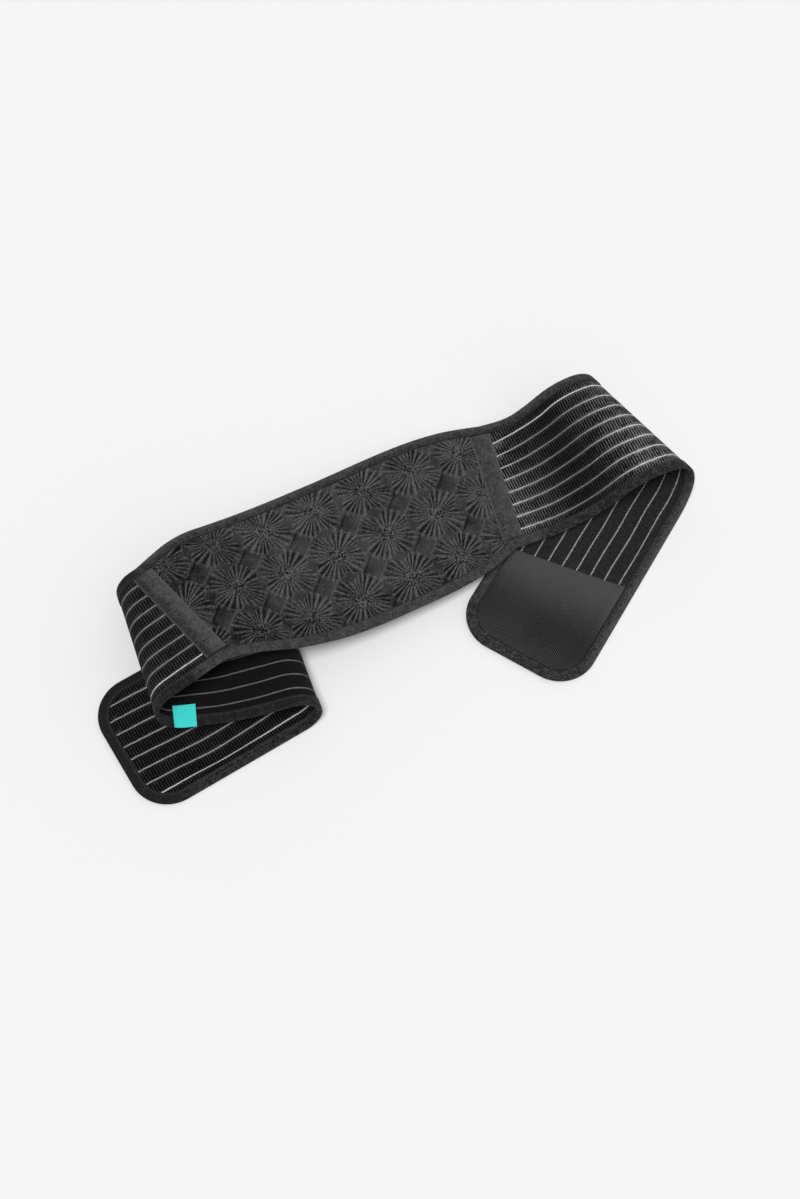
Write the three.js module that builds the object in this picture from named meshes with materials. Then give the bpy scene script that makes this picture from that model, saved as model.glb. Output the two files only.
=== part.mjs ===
// Maternity belly band lying on a table: a padded back panel with an elastic wing sewn to each end.
// The right wing stands up in a loop and comes back along the table. The left wing is folded in a Z under the panel.
// The whole belt is one flat cut, and every piece is bent out of that cut by the same short table of folds.
// Units are millimetres, +Z is up, and the origin is under the middle of the belt, on the table.

import * as THREE from "three";

// Flat cut of the belt. In the cut, x runs along the panel, y towards its longer edge, and h out of its outer face.
const PANEL_HALF = 163; // panel's middle to the seam, on the centre line
const WING_WIDTH = 128;
const WING_ANGLE = 3.3; // degrees that each wing leans towards the panel's shorter edge
const SEAM_SLANT = 9.9; // degrees between the seam and a square cut across the wing
const LONG_EDGE_RISE = 17; // how far the panel's two edges swell past the wing's edges
const SHORT_EDGE_RISE = 17.5;
const SWELL_POWER = 4; // a higher power keeps the edges straight for longer
const LEFT_POWER = 2.2; // both edges taper sooner towards the left seam
const FLARE = 8; // extra width on the far side of the right wing, at its seam
const FLARE_LENGTH = 50; // over which it runs out
const TIP_RADIUS = 36;

// Layers
const CLEARANCE = 0.3; // between sewn pieces
const CLOTH = 2; // elastic, and the panel where it is pressed flat in a seam
const PANEL_THICK = 5;
const PRESSED_BORDER = 11; // width along the panel's rim that stays pressed flat
const PADDING_SLOPE = 9; // width over which the padding swells to full thickness
const BINDING_WIDTH = 10;
const BINDING_CLOTH = 0.7;
const TAPE_WIDTH = 20;
const TAPE_CLOTH = 0.8;
const TAPE_CLEARANCE = 0.5; // the tape bridges the dip of the seam
const TAPE_TRIM = 1.5; // how much sooner the tape's end gives way to the flare than the binding does
const PATCH_THICK = 1.2;
const PATCH_CLEARANCE = 0.5; // the patch bridges the sagging elastic
const PATCH_LENGTH = 107; // from the wing's tip, on the centre line
const PATCH_SLANT = 9.7; // degrees
const LABEL_CLOTH = 0.5;
const LABEL = { from: 95.5, to: 116.5, inner: -43.5, outer: -65.5 }; // on the left wing: along it, then across it

// Where an elastic run lies on the table its middle sags down between the bound edges.
const SAG = 1.4;
const SAG_BORDER = 14;
const SAG_SLOPE = 9;

// How the panel lies: turned about Z, end to end tilt, edge to edge tilt, and where its middle is.
const PANEL_YAW = 27.1;
const PANEL_PITCH = -4;
const PANEL_ROLL = -4;
const PANEL_PLACE = [-56.35, 23.84, 28.16];

// Folds, from the panel outwards. at: distance of the fold's start from the panel's middle, or from the seam on a wing.
// skew: degrees that the fold line leans. turn: degrees, positive towards the outer face. length: cloth in the fold.
const RIGHT_FOLDS = [
  { on: "panel", at: 20, skew: 0, turn: -3.3, length: 90 },
  { on: "wing", at: 10, skew: 14.3, turn: 58.4, length: 80 },
  { on: "wing", at: 93, skew: 13.1, turn: -57.2, length: 39 },
  { on: "wing", at: 138, skew: 17.3, turn: -133.6, length: 56.4 },
  { on: "wing", at: 198, skew: 19.2, turn: -39.7, length: 22 },
];
const LEFT_FOLDS = [
  { on: "panel", at: 0, skew: -12.1, turn: 20.4, length: 100 },
  { on: "wing", at: -50, skew: 1.5, turn: -35.9, length: 38 },
  { on: "wing", at: 32, skew: 12.2, turn: -164.1, length: 58 },
  { on: "wing", at: 103, skew: 22.4, turn: -28.3, length: 50 },
  { on: "wing", at: 190, skew: 11.7, turn: 204.6, length: 63.8 },
];

// tableFrom: distance along the wing past which it lies on the table. tableFace: 1 where the outer face is down there.
const RIGHT = { sign: 1, folds: RIGHT_FOLDS, length: 445, flare: FLARE, tableFrom: 250, tableFace: 1 };
const LEFT = { sign: -1, folds: LEFT_FOLDS, length: 423.5, flare: 0, tableFrom: 285, tableFace: -1 };

// Facets
const FOLD_STEP = 12; // most degrees of a fold for each row of facets
const FOLD_ROW = 9; // longest row in a fold
const FLAT_STEP = 26; // longest row on a flat run
const CORNER_STEPS = 5; // facets in a rounded corner of a tip
const PANEL_STEPS = 28; // rows along the panel
const ELASTIC_COLUMNS = [0, 20, 40, 50]; // distances of the columns of facets from the wing's centre line

const rad = THREE.MathUtils.degToRad;
const clamp = THREE.MathUtils.clamp;
const smooth = (x) => THREE.MathUtils.smoothstep(x, 0, 1);
const halfWidth = WING_WIDTH / 2;

// A point of the flat cut, from the distance w past the seam along a wing and the distance v across it.
function wingToCut(w, v) {
  const lean = rad(WING_ANGLE);
  return {
    x: PANEL_HALF + w * Math.cos(lean) + v * Math.sin(lean),
    y: v * Math.cos(lean) - w * Math.sin(lean),
  };
}

// Folds with their start point, the direction across them and their axis in the flat cut.
function foldLines(folds) {
  return folds.map(({ on, at, skew, turn, length }) => {
    const start = on === "wing" ? wingToCut(at, 0) : { x: at, y: 0 };
    const angle = rad(on === "wing" ? skew - WING_ANGLE : skew);
    const radius = length / rad(turn);
    return {
      start,
      across: new THREE.Vector3(Math.cos(angle), Math.sin(angle), 0),
      axis: new THREE.Vector3(Math.sin(angle), -Math.cos(angle), 0),
      centre: new THREE.Vector3(start.x, start.y, radius),
      radius,
      length,
    };
  });
}
RIGHT.lines = foldLines(RIGHT_FOLDS).reverse();
LEFT.lines = foldLines(LEFT_FOLDS).reverse();

const panelFrame = new THREE.Matrix4()
  .makeRotationZ(rad(PANEL_YAW))
  .multiply(new THREE.Matrix4().makeRotationY(-rad(PANEL_PITCH)))
  .multiply(new THREE.Matrix4().makeRotationX(rad(PANEL_ROLL)))
  .setPosition(...PANEL_PLACE);

// Bends a point of the flat cut, h off the middle of the cloth, to where it lies. The outermost fold acts first.
function lay(x, y, h) {
  const side = x < 0 ? LEFT : RIGHT;
  const flat = { x: Math.abs(x), y };
  const point = new THREE.Vector3(flat.x, y, h);
  for (const fold of side.lines) {
    const past = (flat.x - fold.start.x) * fold.across.x + (flat.y - fold.start.y) * fold.across.y;
    const rolled = clamp(past, 0, fold.length);
    point.addScaledVector(fold.across, -rolled).sub(fold.centre);
    point.applyAxisAngle(fold.axis, rolled / fold.radius).add(fold.centre);
  }
  point.x *= side.sign;
  return point.applyMatrix4(panelFrame);
}

function layWing(side, w, v, h) {
  const cut = wingToCut(w, v);
  return lay(side.sign * cut.x, cut.y, h);
}

// Points of the panel: along runs from -1 at the left seam to 1 at the right one, across from -1 to 1.
const seamTilt = Math.tan(rad(WING_ANGLE + SEAM_SLANT));
const seamReach = halfWidth * Math.tan(rad(SEAM_SLANT)); // how far past the centre line's end the seam runs
const seamCorner = wingToCut(seamReach, halfWidth).y;

// Extra width on the far side of a wing, running out from its seam.
function flareAt(side, w) {
  return side.flare * (1 - smooth(w / FLARE_LENGTH));
}

function panelEdges(along) {
  const swell = 1 - Math.abs(along) ** (along < 0 ? LEFT_POWER : SWELL_POWER);
  const flare = flareAt(RIGHT, seamReach) * smooth(along);
  return { far: seamCorner + LONG_EDGE_RISE * swell + flare, near: -seamCorner - SHORT_EDGE_RISE * swell };
}

function panelX(along, y, inset) {
  return along * (PANEL_HALF + y * seamTilt - inset);
}

// Half the panel's thickness, from the distance to its nearest edge.
function paddedHalf(edgeDistance) {
  const padding = (PANEL_THICK - CLOTH) / 2;
  return CLOTH / 2 + padding * smooth((edgeDistance - PRESSED_BORDER) / PADDING_SLOPE);
}

// Rows across a wing from its seam to its tip: each is a straight line that leans as the nearest folds do.
function wingRows(side) {
  const folds = side.folds.filter((fold) => fold.on === "wing" && fold.at > 0);
  const anchors = [{ w: 0, skew: -SEAM_SLANT }];
  const stops = [0];
  for (const fold of folds) {
    const end = fold.at + fold.length / Math.cos(rad(fold.skew));
    const steps = Math.ceil(Math.max(Math.abs(fold.turn) / FOLD_STEP, fold.length / FOLD_ROW));
    if (fold.at > halfWidth * Math.tan(rad(fold.skew + SEAM_SLANT))) anchors.push({ w: fold.at, skew: fold.skew });
    anchors.push({ w: end, skew: fold.skew });
    for (let i = 0; i <= steps; i++) stops.push(fold.at + ((end - fold.at) * i) / steps);
  }
  const corner = side.length - TIP_RADIUS;
  anchors.push({ w: corner - FLAT_STEP, skew: 0 }, { w: side.length, skew: 0 });
  stops.push(corner - FLAT_STEP, corner);
  stops.sort((a, b) => a - b);
  const spaced = [];
  stops.forEach((stop, i) => {
    const gap = i ? stop - stops[i - 1] : 0;
    const parts = Math.max(1, Math.ceil(gap / FLAT_STEP));
    for (let k = 1; k <= parts; k++) spaced.push(i ? stops[i - 1] + (gap * k) / parts : 0);
  });
  const distinct = spaced.filter((w, i) => i === 0 || w - spaced[i - 1] > 0.5);
  return distinct.map((w) => {
    const next = anchors.findIndex((anchor) => anchor.w >= w);
    const b = anchors[next];
    const a = anchors[Math.max(next - 1, 0)];
    const share = b.w > a.w ? (w - a.w) / (b.w - a.w) : 1;
    return { w, lean: Math.tan(rad(a.skew + (b.skew - a.skew) * share)) };
  });
}
RIGHT.rows = wingRows(RIGHT);
LEFT.rows = wingRows(LEFT);

// Offset of the elastic's middle towards the table, on the run that lies there.
function sagAt(side, w, v) {
  const fromSide = halfWidth - Math.abs(v);
  const fromTip = side.length - w;
  const inCorner = fromSide < TIP_RADIUS && fromTip < TIP_RADIUS;
  const fromArc = TIP_RADIUS - Math.hypot(TIP_RADIUS - fromSide, TIP_RADIUS - fromTip);
  const edgeDistance = inCorner ? fromArc : Math.min(fromSide, fromTip);
  const down = smooth((w - side.tableFrom) / FLAT_STEP) * smooth((edgeDistance - SAG_BORDER) / SAG_SLOPE);
  return side.tableFace * SAG * down;
}

// Closed slab between two grids of points that share their outline. Rows and columns are those of the grids.
function slab(upper, lower) {
  const rows = upper.length;
  const columns = upper[0].length;
  const points = [...upper.flat(), ...lower.flat()];
  const top = (i, j) => i * columns + j;
  const bottom = (i, j) => rows * columns + top(i, j);
  const faces = [];
  const quad = (a, b, c, d) => faces.push(a, b, c, a, c, d);
  for (let i = 0; i < rows - 1; i++) {
    for (let j = 0; j < columns - 1; j++) {
      quad(top(i, j), top(i + 1, j), top(i + 1, j + 1), top(i, j + 1));
      quad(bottom(i, j), bottom(i, j + 1), bottom(i + 1, j + 1), bottom(i + 1, j));
    }
    quad(top(i, 0), bottom(i, 0), bottom(i + 1, 0), top(i + 1, 0));
    quad(top(i, columns - 1), top(i + 1, columns - 1), bottom(i + 1, columns - 1), bottom(i, columns - 1));
  }
  for (let j = 0; j < columns - 1; j++) {
    quad(top(0, j), top(0, j + 1), bottom(0, j + 1), bottom(0, j));
    quad(top(rows - 1, j), bottom(rows - 1, j), bottom(rows - 1, j + 1), top(rows - 1, j + 1));
  }
  return closedGeometry(points, faces);
}

// Geometry whose faces point out, whichever way round its grids ran.
function closedGeometry(points, faces) {
  let volume = 0;
  for (let i = 0; i < faces.length; i += 3) {
    const [a, b, c] = [points[faces[i]], points[faces[i + 1]], points[faces[i + 2]]];
    volume += a.dot(new THREE.Vector3().crossVectors(b, c));
  }
  if (volume < 0) faces.reverse();
  const geometry = new THREE.BufferGeometry().setFromPoints(points).setIndex(faces);
  geometry.computeVertexNormals();
  return geometry;
}

// A slab from a grid of cut positions, each with the heights of its two faces.
function laidSlab(grid, place) {
  const upper = grid.map((row) => row.map((cell) => place(cell, cell.high)));
  const lower = grid.map((row) => row.map((cell) => place(cell, cell.low)));
  return slab(upper, lower);
}

// Back panel: a padded slab that is pressed flat along its rim.
function backPanel() {
  const inset = BINDING_CLOTH + CLEARANCE;
  const seamInset = CLEARANCE;
  const borders = [0, PRESSED_BORDER, PRESSED_BORDER + PADDING_SLOPE / 2, PRESSED_BORDER + PADDING_SLOPE];
  const alongStops = new Set();
  for (let i = 0; i <= PANEL_STEPS; i++) alongStops.add((2 * i) / PANEL_STEPS - 1);
  for (const border of [PRESSED_BORDER / 2, ...borders]) {
    alongStops.add(1 - border / PANEL_HALF);
    alongStops.add(border / PANEL_HALF - 1);
  }
  const grid = panelStops(alongStops).map((along) => {
    const edge = panelEdges(along);
    const far = edge.far - inset;
    const near = edge.near + inset;
    const middle = (far + near) / 2;
    const ys = [...borders.map((b) => near + b), middle, ...borders.map((b) => far - b).reverse()];
    return ys.map((y) => {
      const x = panelX(along, y, seamInset);
      const fromSeam = (1 - Math.abs(along)) * PANEL_HALF;
      const half = paddedHalf(Math.min(far - y, y - near, fromSeam));
      return { x, y, high: half, low: -half };
    });
  });
  return laidSlab(grid, (cell, h) => lay(cell.x, cell.y, h));
}

// Sorted stops along the panel, with those that nearly coincide dropped.
function panelStops(stops) {
  const sorted = [...stops].sort((a, b) => a - b);
  const tooNear = 1.5 / PANEL_HALF;
  return sorted.filter((stop, i) => i === 0 || i === sorted.length - 1 || stop - sorted[i - 1] > tooNear);
}

// Half the width of a wing's cut at w, inset from its outline.
function wingHalfAt(side, w, inset) {
  const radius = TIP_RADIUS - inset;
  const into = Math.max(0, w - (side.length - TIP_RADIUS));
  return halfWidth - TIP_RADIUS + Math.sqrt(Math.max(0, radius ** 2 - into ** 2));
}

// Columns of facets across the elastic, on both sides of its centre line.
const bothWays = (columns) => [...columns.slice(1).reverse().map((v) => -v), ...columns];

// Wing: elastic from the seam to the rounded tip.
function wing(side) {
  const inset = BINDING_CLOTH + CLEARANCE;
  const across = bothWays([...ELASTIC_COLUMNS, halfWidth - inset]);
  const corner = side.length - TIP_RADIUS;
  const cornerRows = [];
  for (let i = 1; i <= CORNER_STEPS; i++) {
    const angle = (Math.PI / 2) * (i / CORNER_STEPS);
    cornerRows.push({ w: corner + (TIP_RADIUS - inset) * Math.sin(angle), lean: 0 });
  }
  const grid = [...side.rows, ...cornerRows].map((row, i) => {
    const narrowing = wingHalfAt(side, row.w, inset) / (halfWidth - inset);
    const widening = 1 + flareAt(side, row.w - halfWidth * row.lean) / (halfWidth - inset);
    return across.map((column) => {
      const v = column * narrowing * (column > 0 ? widening : 1);
      const w = row.w - v * row.lean + (i === 0 ? CLEARANCE : 0);
      const middle = sagAt(side, w, v);
      return { w, v, high: middle + CLOTH / 2, low: middle - CLOTH / 2 };
    });
  });
  return laidSlab(grid, (cell, h) => layWing(side, cell.w, cell.v, h));
}

// Seam tape: a flat strip over the seam, on the outer face, between the bound edges.
function seamTape(side) {
  const half = halfWidth - BINDING_WIDTH - CLEARANCE;
  const lean = Math.tan(rad(SEAM_SLANT));
  const low = CLOTH / 2 + TAPE_CLEARANCE;
  const rows = [-0.5, -0.25, 0, 0.25, 0.5].map((share) => share * TAPE_WIDTH);
  const steps = 12;
  const grid = rows.map((offset) => {
    const row = [];
    const length = 2 * half + flareAt(side, seamReach + offset + TAPE_TRIM);
    for (let j = 0; j <= steps; j++) {
      const v = (length * j) / steps - half;
      row.push({ w: v * lean + offset, v, high: low + TAPE_CLOTH, low });
    }
    return row;
  });
  return laidSlab(grid, (cell, h) => layWing(side, cell.w, cell.v, h));
}

// Hook patch: on the inner face of the right wing's tip, inside the binding.
function hookPatch() {
  const side = RIGHT;
  const inset = BINDING_WIDTH + CLEARANCE;
  const lean = -Math.tan(rad(PATCH_SLANT));
  const start = side.length - PATCH_LENGTH;
  const corner = side.length - TIP_RADIUS;
  const across = bothWays([...ELASTIC_COLUMNS, halfWidth - inset]);
  const rows = [0, 0.25, 0.5, 0.75, 1].map((share) => ({
    w: start + (corner - start) * share,
    lean: lean * (1 - share),
  }));
  for (let i = 1; i <= CORNER_STEPS; i++) {
    const angle = (Math.PI / 2) * (i / CORNER_STEPS);
    rows.push({ w: corner + (TIP_RADIUS - inset) * Math.sin(angle), lean: 0 });
  }
  const grid = rows.map((row) => {
    const narrowing = wingHalfAt(side, row.w, inset) / (halfWidth - inset);
    return across.map((column) => {
      const v = column * narrowing;
      const w = row.w - v * row.lean;
      const high = sagAt(side, w, v) - CLOTH / 2 - PATCH_CLEARANCE;
      return { w, v, high, low: high - PATCH_THICK };
    });
  });
  return laidSlab(grid, (cell, h) => layWing(side, cell.w, cell.v, h));
}

// Label: a small bare flap on the inner face of the left wing, over its bound edge.
function label() {
  const high = -CLOTH / 2 - 2 * CLEARANCE - BINDING_CLOTH;
  const steps = 6;
  const grid = [];
  for (let i = 0; i <= steps; i++) {
    const w = LABEL.from + ((LABEL.to - LABEL.from) * i) / steps;
    const cells = [LABEL.outer, -halfWidth + BINDING_WIDTH, LABEL.inner];
    grid.push(cells.map((v) => ({ w, v, high, low: high - LABEL_CLOTH })));
  }
  return laidSlab(grid, (cell, h) => layWing(LEFT, cell.w, cell.v, h));
}

// Edge binding: a strip folded over the rim, one closed ring right round the belt.
function edgeBinding() {
  const inner = CLOTH / 2 + CLEARANCE;
  const outer = inner + BINDING_CLOTH;
  const profile = [
    { depth: 0, h: -outer },
    { depth: 0, h: outer },
    { depth: BINDING_WIDTH, h: outer },
    { depth: BINDING_WIDTH, h: inner },
    { depth: BINDING_CLOTH, h: inner },
    { depth: BINDING_CLOTH, h: -inner },
    { depth: BINDING_WIDTH, h: -inner },
    { depth: BINDING_WIDTH, h: -outer },
  ];
  const rim = [
    ...panelRim("far"),
    ...wingRim(RIGHT),
    ...panelRim("near").reverse(),
    ...wingRim(LEFT).reverse(),
  ];
  const points = rim.flatMap((station) => profile.map(({ depth, h }) => station(depth, h)));
  const faces = [];
  const n = profile.length;
  rim.forEach((_, i) => {
    const here = i * n;
    const next = ((i + 1) % rim.length) * n;
    for (let k = 0; k < n; k++) {
      const m = (k + 1) % n;
      faces.push(here + k, next + k, next + m, here + k, next + m, here + m);
    }
  });
  return closedGeometry(points, faces);
}

// Stations of the rim. Each one gives the laid point at a depth in from the rim and a height off the cloth's middle.
function panelRim(edge) {
  const stations = [];
  const inward = edge === "far" ? -1 : 1;
  for (let i = 0; i <= PANEL_STEPS; i++) {
    const along = (2 * i) / PANEL_STEPS - 1;
    stations.push((depth, h) => {
      const y = panelEdges(along)[edge] + inward * depth;
      return lay(panelX(along, y, 0), y, h);
    });
  }
  return stations;
}

// From the far edge past the seam, round the tip, and back along the near edge.
function wingRim(side) {
  const edge = (sign) =>
    side.rows.slice(1).map((row) => (depth, h) => {
      const flare = sign > 0 ? flareAt(side, row.w - halfWidth * row.lean) : 0;
      const v = sign * (halfWidth + flare - depth);
      return layWing(side, row.w - v * row.lean, v, h);
    });
  return [...edge(1), ...cornerRim(side, 1), ...cornerRim(side, -1).reverse(), ...edge(-1).reverse()];
}

// One rounded corner of a tip, from the wing's side to its end.
function cornerRim(side, sign) {
  const centreW = side.length - TIP_RADIUS;
  const centreV = halfWidth - TIP_RADIUS;
  const stations = [];
  for (let i = 1; i <= CORNER_STEPS; i++) {
    const angle = (Math.PI / 2) * (i / CORNER_STEPS);
    stations.push((depth, h) => {
      const radius = TIP_RADIUS - depth;
      const w = centreW + radius * Math.sin(angle);
      return layWing(side, w, sign * (centreV + radius * Math.cos(angle)), h);
    });
  }
  return stations;
}

// Finishes
const PANEL_FINISH = { color: 0x37383a, roughness: 0.95, metalness: 0 };
const ELASTIC_FINISH = { color: 0x1d1d1f, roughness: 0.9, metalness: 0 };
const BINDING_FINISH = { color: 0x343537, roughness: 1, metalness: 0 };
const HOOK_FINISH = { color: 0x3a3b3d, roughness: 0.8, metalness: 0 };
const LABEL_FINISH = { color: 0x40d6cc, roughness: 0.7, metalness: 0 };

function piece(name, geometry, finish) {
  const mesh = new THREE.Mesh(geometry, new THREE.MeshStandardMaterial(finish));
  mesh.name = name;
  return mesh;
}

const belt = new THREE.Group();
belt.add(
  piece("back_panel", backPanel(), PANEL_FINISH),
  piece("right_wing", wing(RIGHT), ELASTIC_FINISH),
  piece("left_wing", wing(LEFT), ELASTIC_FINISH),
  piece("right_seam_tape", seamTape(RIGHT), BINDING_FINISH),
  piece("left_seam_tape", seamTape(LEFT), BINDING_FINISH),
  piece("edge_binding", edgeBinding(), BINDING_FINISH),
  piece("hook_patch", hookPatch(), HOOK_FINISH),
  piece("label", label(), LABEL_FINISH),
);

export default belt;
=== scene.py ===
# %% [markdown]
# # A maternity belly band on a table
# The belt is one long cut of soft goods: a padded panel for the back and an elastic wing sewn to each end.
# It lies as it was put down, with one wing looped up and the other folded in a Z under the panel.
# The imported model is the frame. It says how big everything is and where it is,
# and this script gives it its looks.

# %% Load the frame
import math

import bpy
import numpy as np
from mathutils import Matrix, Vector


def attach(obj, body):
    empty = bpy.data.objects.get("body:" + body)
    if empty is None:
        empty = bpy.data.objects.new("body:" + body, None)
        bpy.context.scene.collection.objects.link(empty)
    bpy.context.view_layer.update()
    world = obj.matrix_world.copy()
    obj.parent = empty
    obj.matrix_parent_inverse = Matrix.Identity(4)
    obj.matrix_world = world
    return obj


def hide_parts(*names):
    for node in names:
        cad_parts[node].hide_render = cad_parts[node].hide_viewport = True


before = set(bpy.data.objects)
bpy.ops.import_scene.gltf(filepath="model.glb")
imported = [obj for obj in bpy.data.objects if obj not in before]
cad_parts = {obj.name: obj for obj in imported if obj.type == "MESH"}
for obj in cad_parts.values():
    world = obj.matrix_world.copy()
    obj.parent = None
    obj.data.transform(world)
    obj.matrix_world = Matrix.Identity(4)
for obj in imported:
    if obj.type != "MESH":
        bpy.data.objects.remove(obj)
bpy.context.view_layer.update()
print("frame nodes:", ", ".join(sorted(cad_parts)))

# %% [markdown]
# ## The flat cut
# A sewn thing is easiest to think of flat, as the maker cuts it, and then folded.
# In the cut, x runs along the panel, y towards its longer edge and h out of its outer face, in millimetres.
# On a wing, w is the distance from the seam and v the distance from the wing's centre line.
# Every pattern on the cloth, from stripes to pleats, is laid out on this cut,
# so it follows the folds as the real one does.

# %% Sizes of the cut
MM = 0.001
PANEL_HALF = 163.0  # panel's middle to the seam
WING_WIDTH = 128.0
WING_ANGLE = 3.3  # degrees that each wing leans towards the panel's shorter edge
SEAM_SLANT = 9.9  # degrees between the seam and a square cut
LONG_EDGE_RISE = 17.0  # how far the panel's two edges swell past the wings' edges
SHORT_EDGE_RISE = 17.5
SWELL_POWER = 4  # a higher power keeps the edges straight for longer
LEFT_POWER = 2.2  # both edges taper sooner towards the left seam
FLARE = 8.0  # extra width on the far side of the right wing, at its seam
FLARE_LENGTH = 50.0  # over which it runs out
TIP_RADIUS = 36.0
RIGHT_LENGTH = 445.0
LEFT_LENGTH = 423.5
CLOTH = 2.0  # elastic, and the panel where it is pressed flat
CLEARANCE = 0.3  # between sewn pieces
PANEL_THICK = 5.0
PRESSED_BORDER = 11.0  # width along the panel's rim that stays pressed flat
PADDING_SLOPE = 9.0  # width over which the padding swells to full thickness
BINDING_WIDTH = 10.0
BINDING_CLOTH = 0.7

HALF_WIDTH = WING_WIDTH / 2
SEAM_LEAN = math.tan(math.radians(SEAM_SLANT))
SEAM_REACH = HALF_WIDTH * SEAM_LEAN  # how far past the centre line's end the seam runs


def smooth(x):
    """Rises smoothly from 0 to 1 as x goes from 0 to 1."""
    x = np.clip(x, 0.0, 1.0)
    return x * x * (3.0 - 2.0 * x)


def wing_to_cut(w, v):
    """The place in the cut of a point w past the seam and v across a wing."""
    lean = math.radians(WING_ANGLE)
    x = PANEL_HALF + w * math.cos(lean) + v * math.sin(lean)
    y = v * math.cos(lean) - w * math.sin(lean)
    return x, y


def flare_at(sign, w):
    """Extra width on the far side of a wing, running out from its seam. Only the right wing has it."""
    return (FLARE if sign > 0 else 0.0) * (1.0 - smooth(w / FLARE_LENGTH))


print("flat belt:", round(2 * PANEL_HALF + RIGHT_LENGTH + LEFT_LENGTH), "mm long")

# %% [markdown]
# ## The folds
# A fold rolls the cloth round a straight line without stretching it,
# so a short table of folds is enough to lay the belt.
# Each row says where the fold starts, how its line leans, how far it turns and how much cloth is in it.
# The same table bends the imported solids, so what is drawn here lies exactly where they do.

# %% Fold tables
# piece, start in mm, lean in degrees, turn in degrees towards the outer face, cloth in the fold in mm
RIGHT_FOLDS = [
    ("panel", 20, 0, -3.3, 90),
    ("wing", 10, 14.3, 58.4, 80),
    ("wing", 93, 13.1, -57.2, 39),
    ("wing", 138, 17.3, -133.6, 56.4),
    ("wing", 198, 19.2, -39.7, 22),
]
LEFT_FOLDS = [
    ("panel", 0, -12.1, 20.4, 100),
    ("wing", -50, 1.5, -35.9, 38),
    ("wing", 32, 12.2, -164.1, 58),
    ("wing", 103, 22.4, -28.3, 50),
    ("wing", 190, 11.7, 204.6, 63.8),
]
# how the panel lies, in degrees, and where its middle is
PANEL_YAW = 27.1
PANEL_PITCH = -4.0
PANEL_ROLL = -4.0
PANEL_PLACE = np.array((-56.35, 23.84, 28.16))

panel_turn = (
    Matrix.Rotation(math.radians(PANEL_YAW), 3, "Z")
    @ Matrix.Rotation(-math.radians(PANEL_PITCH), 3, "Y")
    @ Matrix.Rotation(math.radians(PANEL_ROLL), 3, "X")
)
PANEL_TURN = np.array(panel_turn)


def roll_over(points, flat, fold):
    """Rolls points round one fold. flat holds their x and y in the cut."""
    on, at, lean, turn, length = fold
    on_wing = on == "wing"
    start = np.array(wing_to_cut(at, 0.0) if on_wing else (at, 0.0))
    angle = math.radians(lean - WING_ANGLE if on_wing else lean)
    across = np.array((math.cos(angle), math.sin(angle), 0.0))
    axis = np.array((math.sin(angle), -math.cos(angle), 0.0))
    radius = length / math.radians(turn)
    rolled = np.clip((flat - start) @ across[:2], 0.0, length)[:, None]
    centre = np.array((*start, radius))
    arm = points - rolled * across - centre
    along_axis = (arm @ axis)[:, None] * axis
    sine = np.sin(rolled / radius)
    cosine = np.cos(rolled / radius)
    return centre + along_axis + (arm - along_axis) * cosine + np.cross(axis, arm) * sine


def lay(x, y, h):
    """Where points of the cut lie on the table, in metres. The outermost fold is made first."""
    points = np.column_stack((np.abs(x), y, h))
    for here, sign, folds in ((x >= 0, 1, RIGHT_FOLDS), (x < 0, -1, LEFT_FOLDS)):
        bent = points[here]
        flat = bent[:, :2].copy()
        for fold in reversed(folds):
            bent = roll_over(bent, flat, fold)
        bent[:, 0] *= sign
        points[here] = bent
    return (points @ PANEL_TURN.T + PANEL_PLACE) * MM


def lay_wing(sign, w, v, h):
    """Where points of a wing lie on the table. sign is 1 on the right wing and -1 on the left one."""
    x, y = wing_to_cut(w, v)
    return lay(sign * x, y, h)


CREST_AT = 165.0  # along the right wing
crest_place = lay_wing(1, np.array([CREST_AT]), np.zeros(1), np.zeros(1))[0]
print("crest of the loop:", crest_place.round(3), "m")

# %% [markdown]
# ## From a flat grid to a laid piece
# A grid primitive is the cloth on the cutting table. Its points are moved to the cut's outline,
# a Solidify modifier gives the cloth its thickness, its outer side is shaped, and only then is it folded.
# A cloth simulation could drape it too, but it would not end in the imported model's folds.
# Working flat first keeps every step simple: the outer face is whatever points up.

# %% Helpers for cloth
SMOOTH_BELOW = 55.0  # degrees between two faces, above which their edge stays sharp


def cut_sheet(name, along, across):
    """A flat grid of that many cells, two units on a side, ready to be shaped."""
    bpy.ops.object.select_all(action="DESELECT")
    bpy.ops.mesh.primitive_grid_add(x_subdivisions=along, y_subdivisions=across, size=2)
    piece = bpy.context.object
    piece.name = name
    piece.data.name = name
    return piece


def points_of(piece):
    flat = np.empty(3 * len(piece.data.vertices))
    piece.data.vertices.foreach_get("co", flat)
    return flat.reshape(-1, 3)


def move_points(piece, points):
    piece.data.vertices.foreach_set("co", np.ascontiguousarray(points, dtype=float).ravel())
    piece.data.update()


def thicken(piece, thickness):
    """Gives a flat sheet its thickness, half above and half below."""
    wall = piece.modifiers.new("thickness", "SOLIDIFY")
    wall.thickness = thickness
    wall.offset = 0.0
    bpy.context.view_layer.objects.active = piece
    bpy.ops.object.modifier_apply(modifier=wall.name)


def note(piece, name, values):
    """Keeps a number, or three, for each point, for the materials to read."""
    triple = np.ndim(values) == 2
    kind = "FLOAT_VECTOR" if triple else "FLOAT"
    kept = piece.data.attributes.new(name=name, type=kind, domain="POINT")
    numbers = np.ascontiguousarray(values, dtype=float).ravel()
    kept.data.foreach_set("vector" if triple else "value", numbers)


def face_up(piece):
    """True for each face of a flat piece that points up, out of the outer face."""
    normals = np.empty(3 * len(piece.data.polygons))
    piece.data.polygons.foreach_get("normal", normals)
    return normals.reshape(-1, 3)[:, 2] > 0.5


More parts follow.
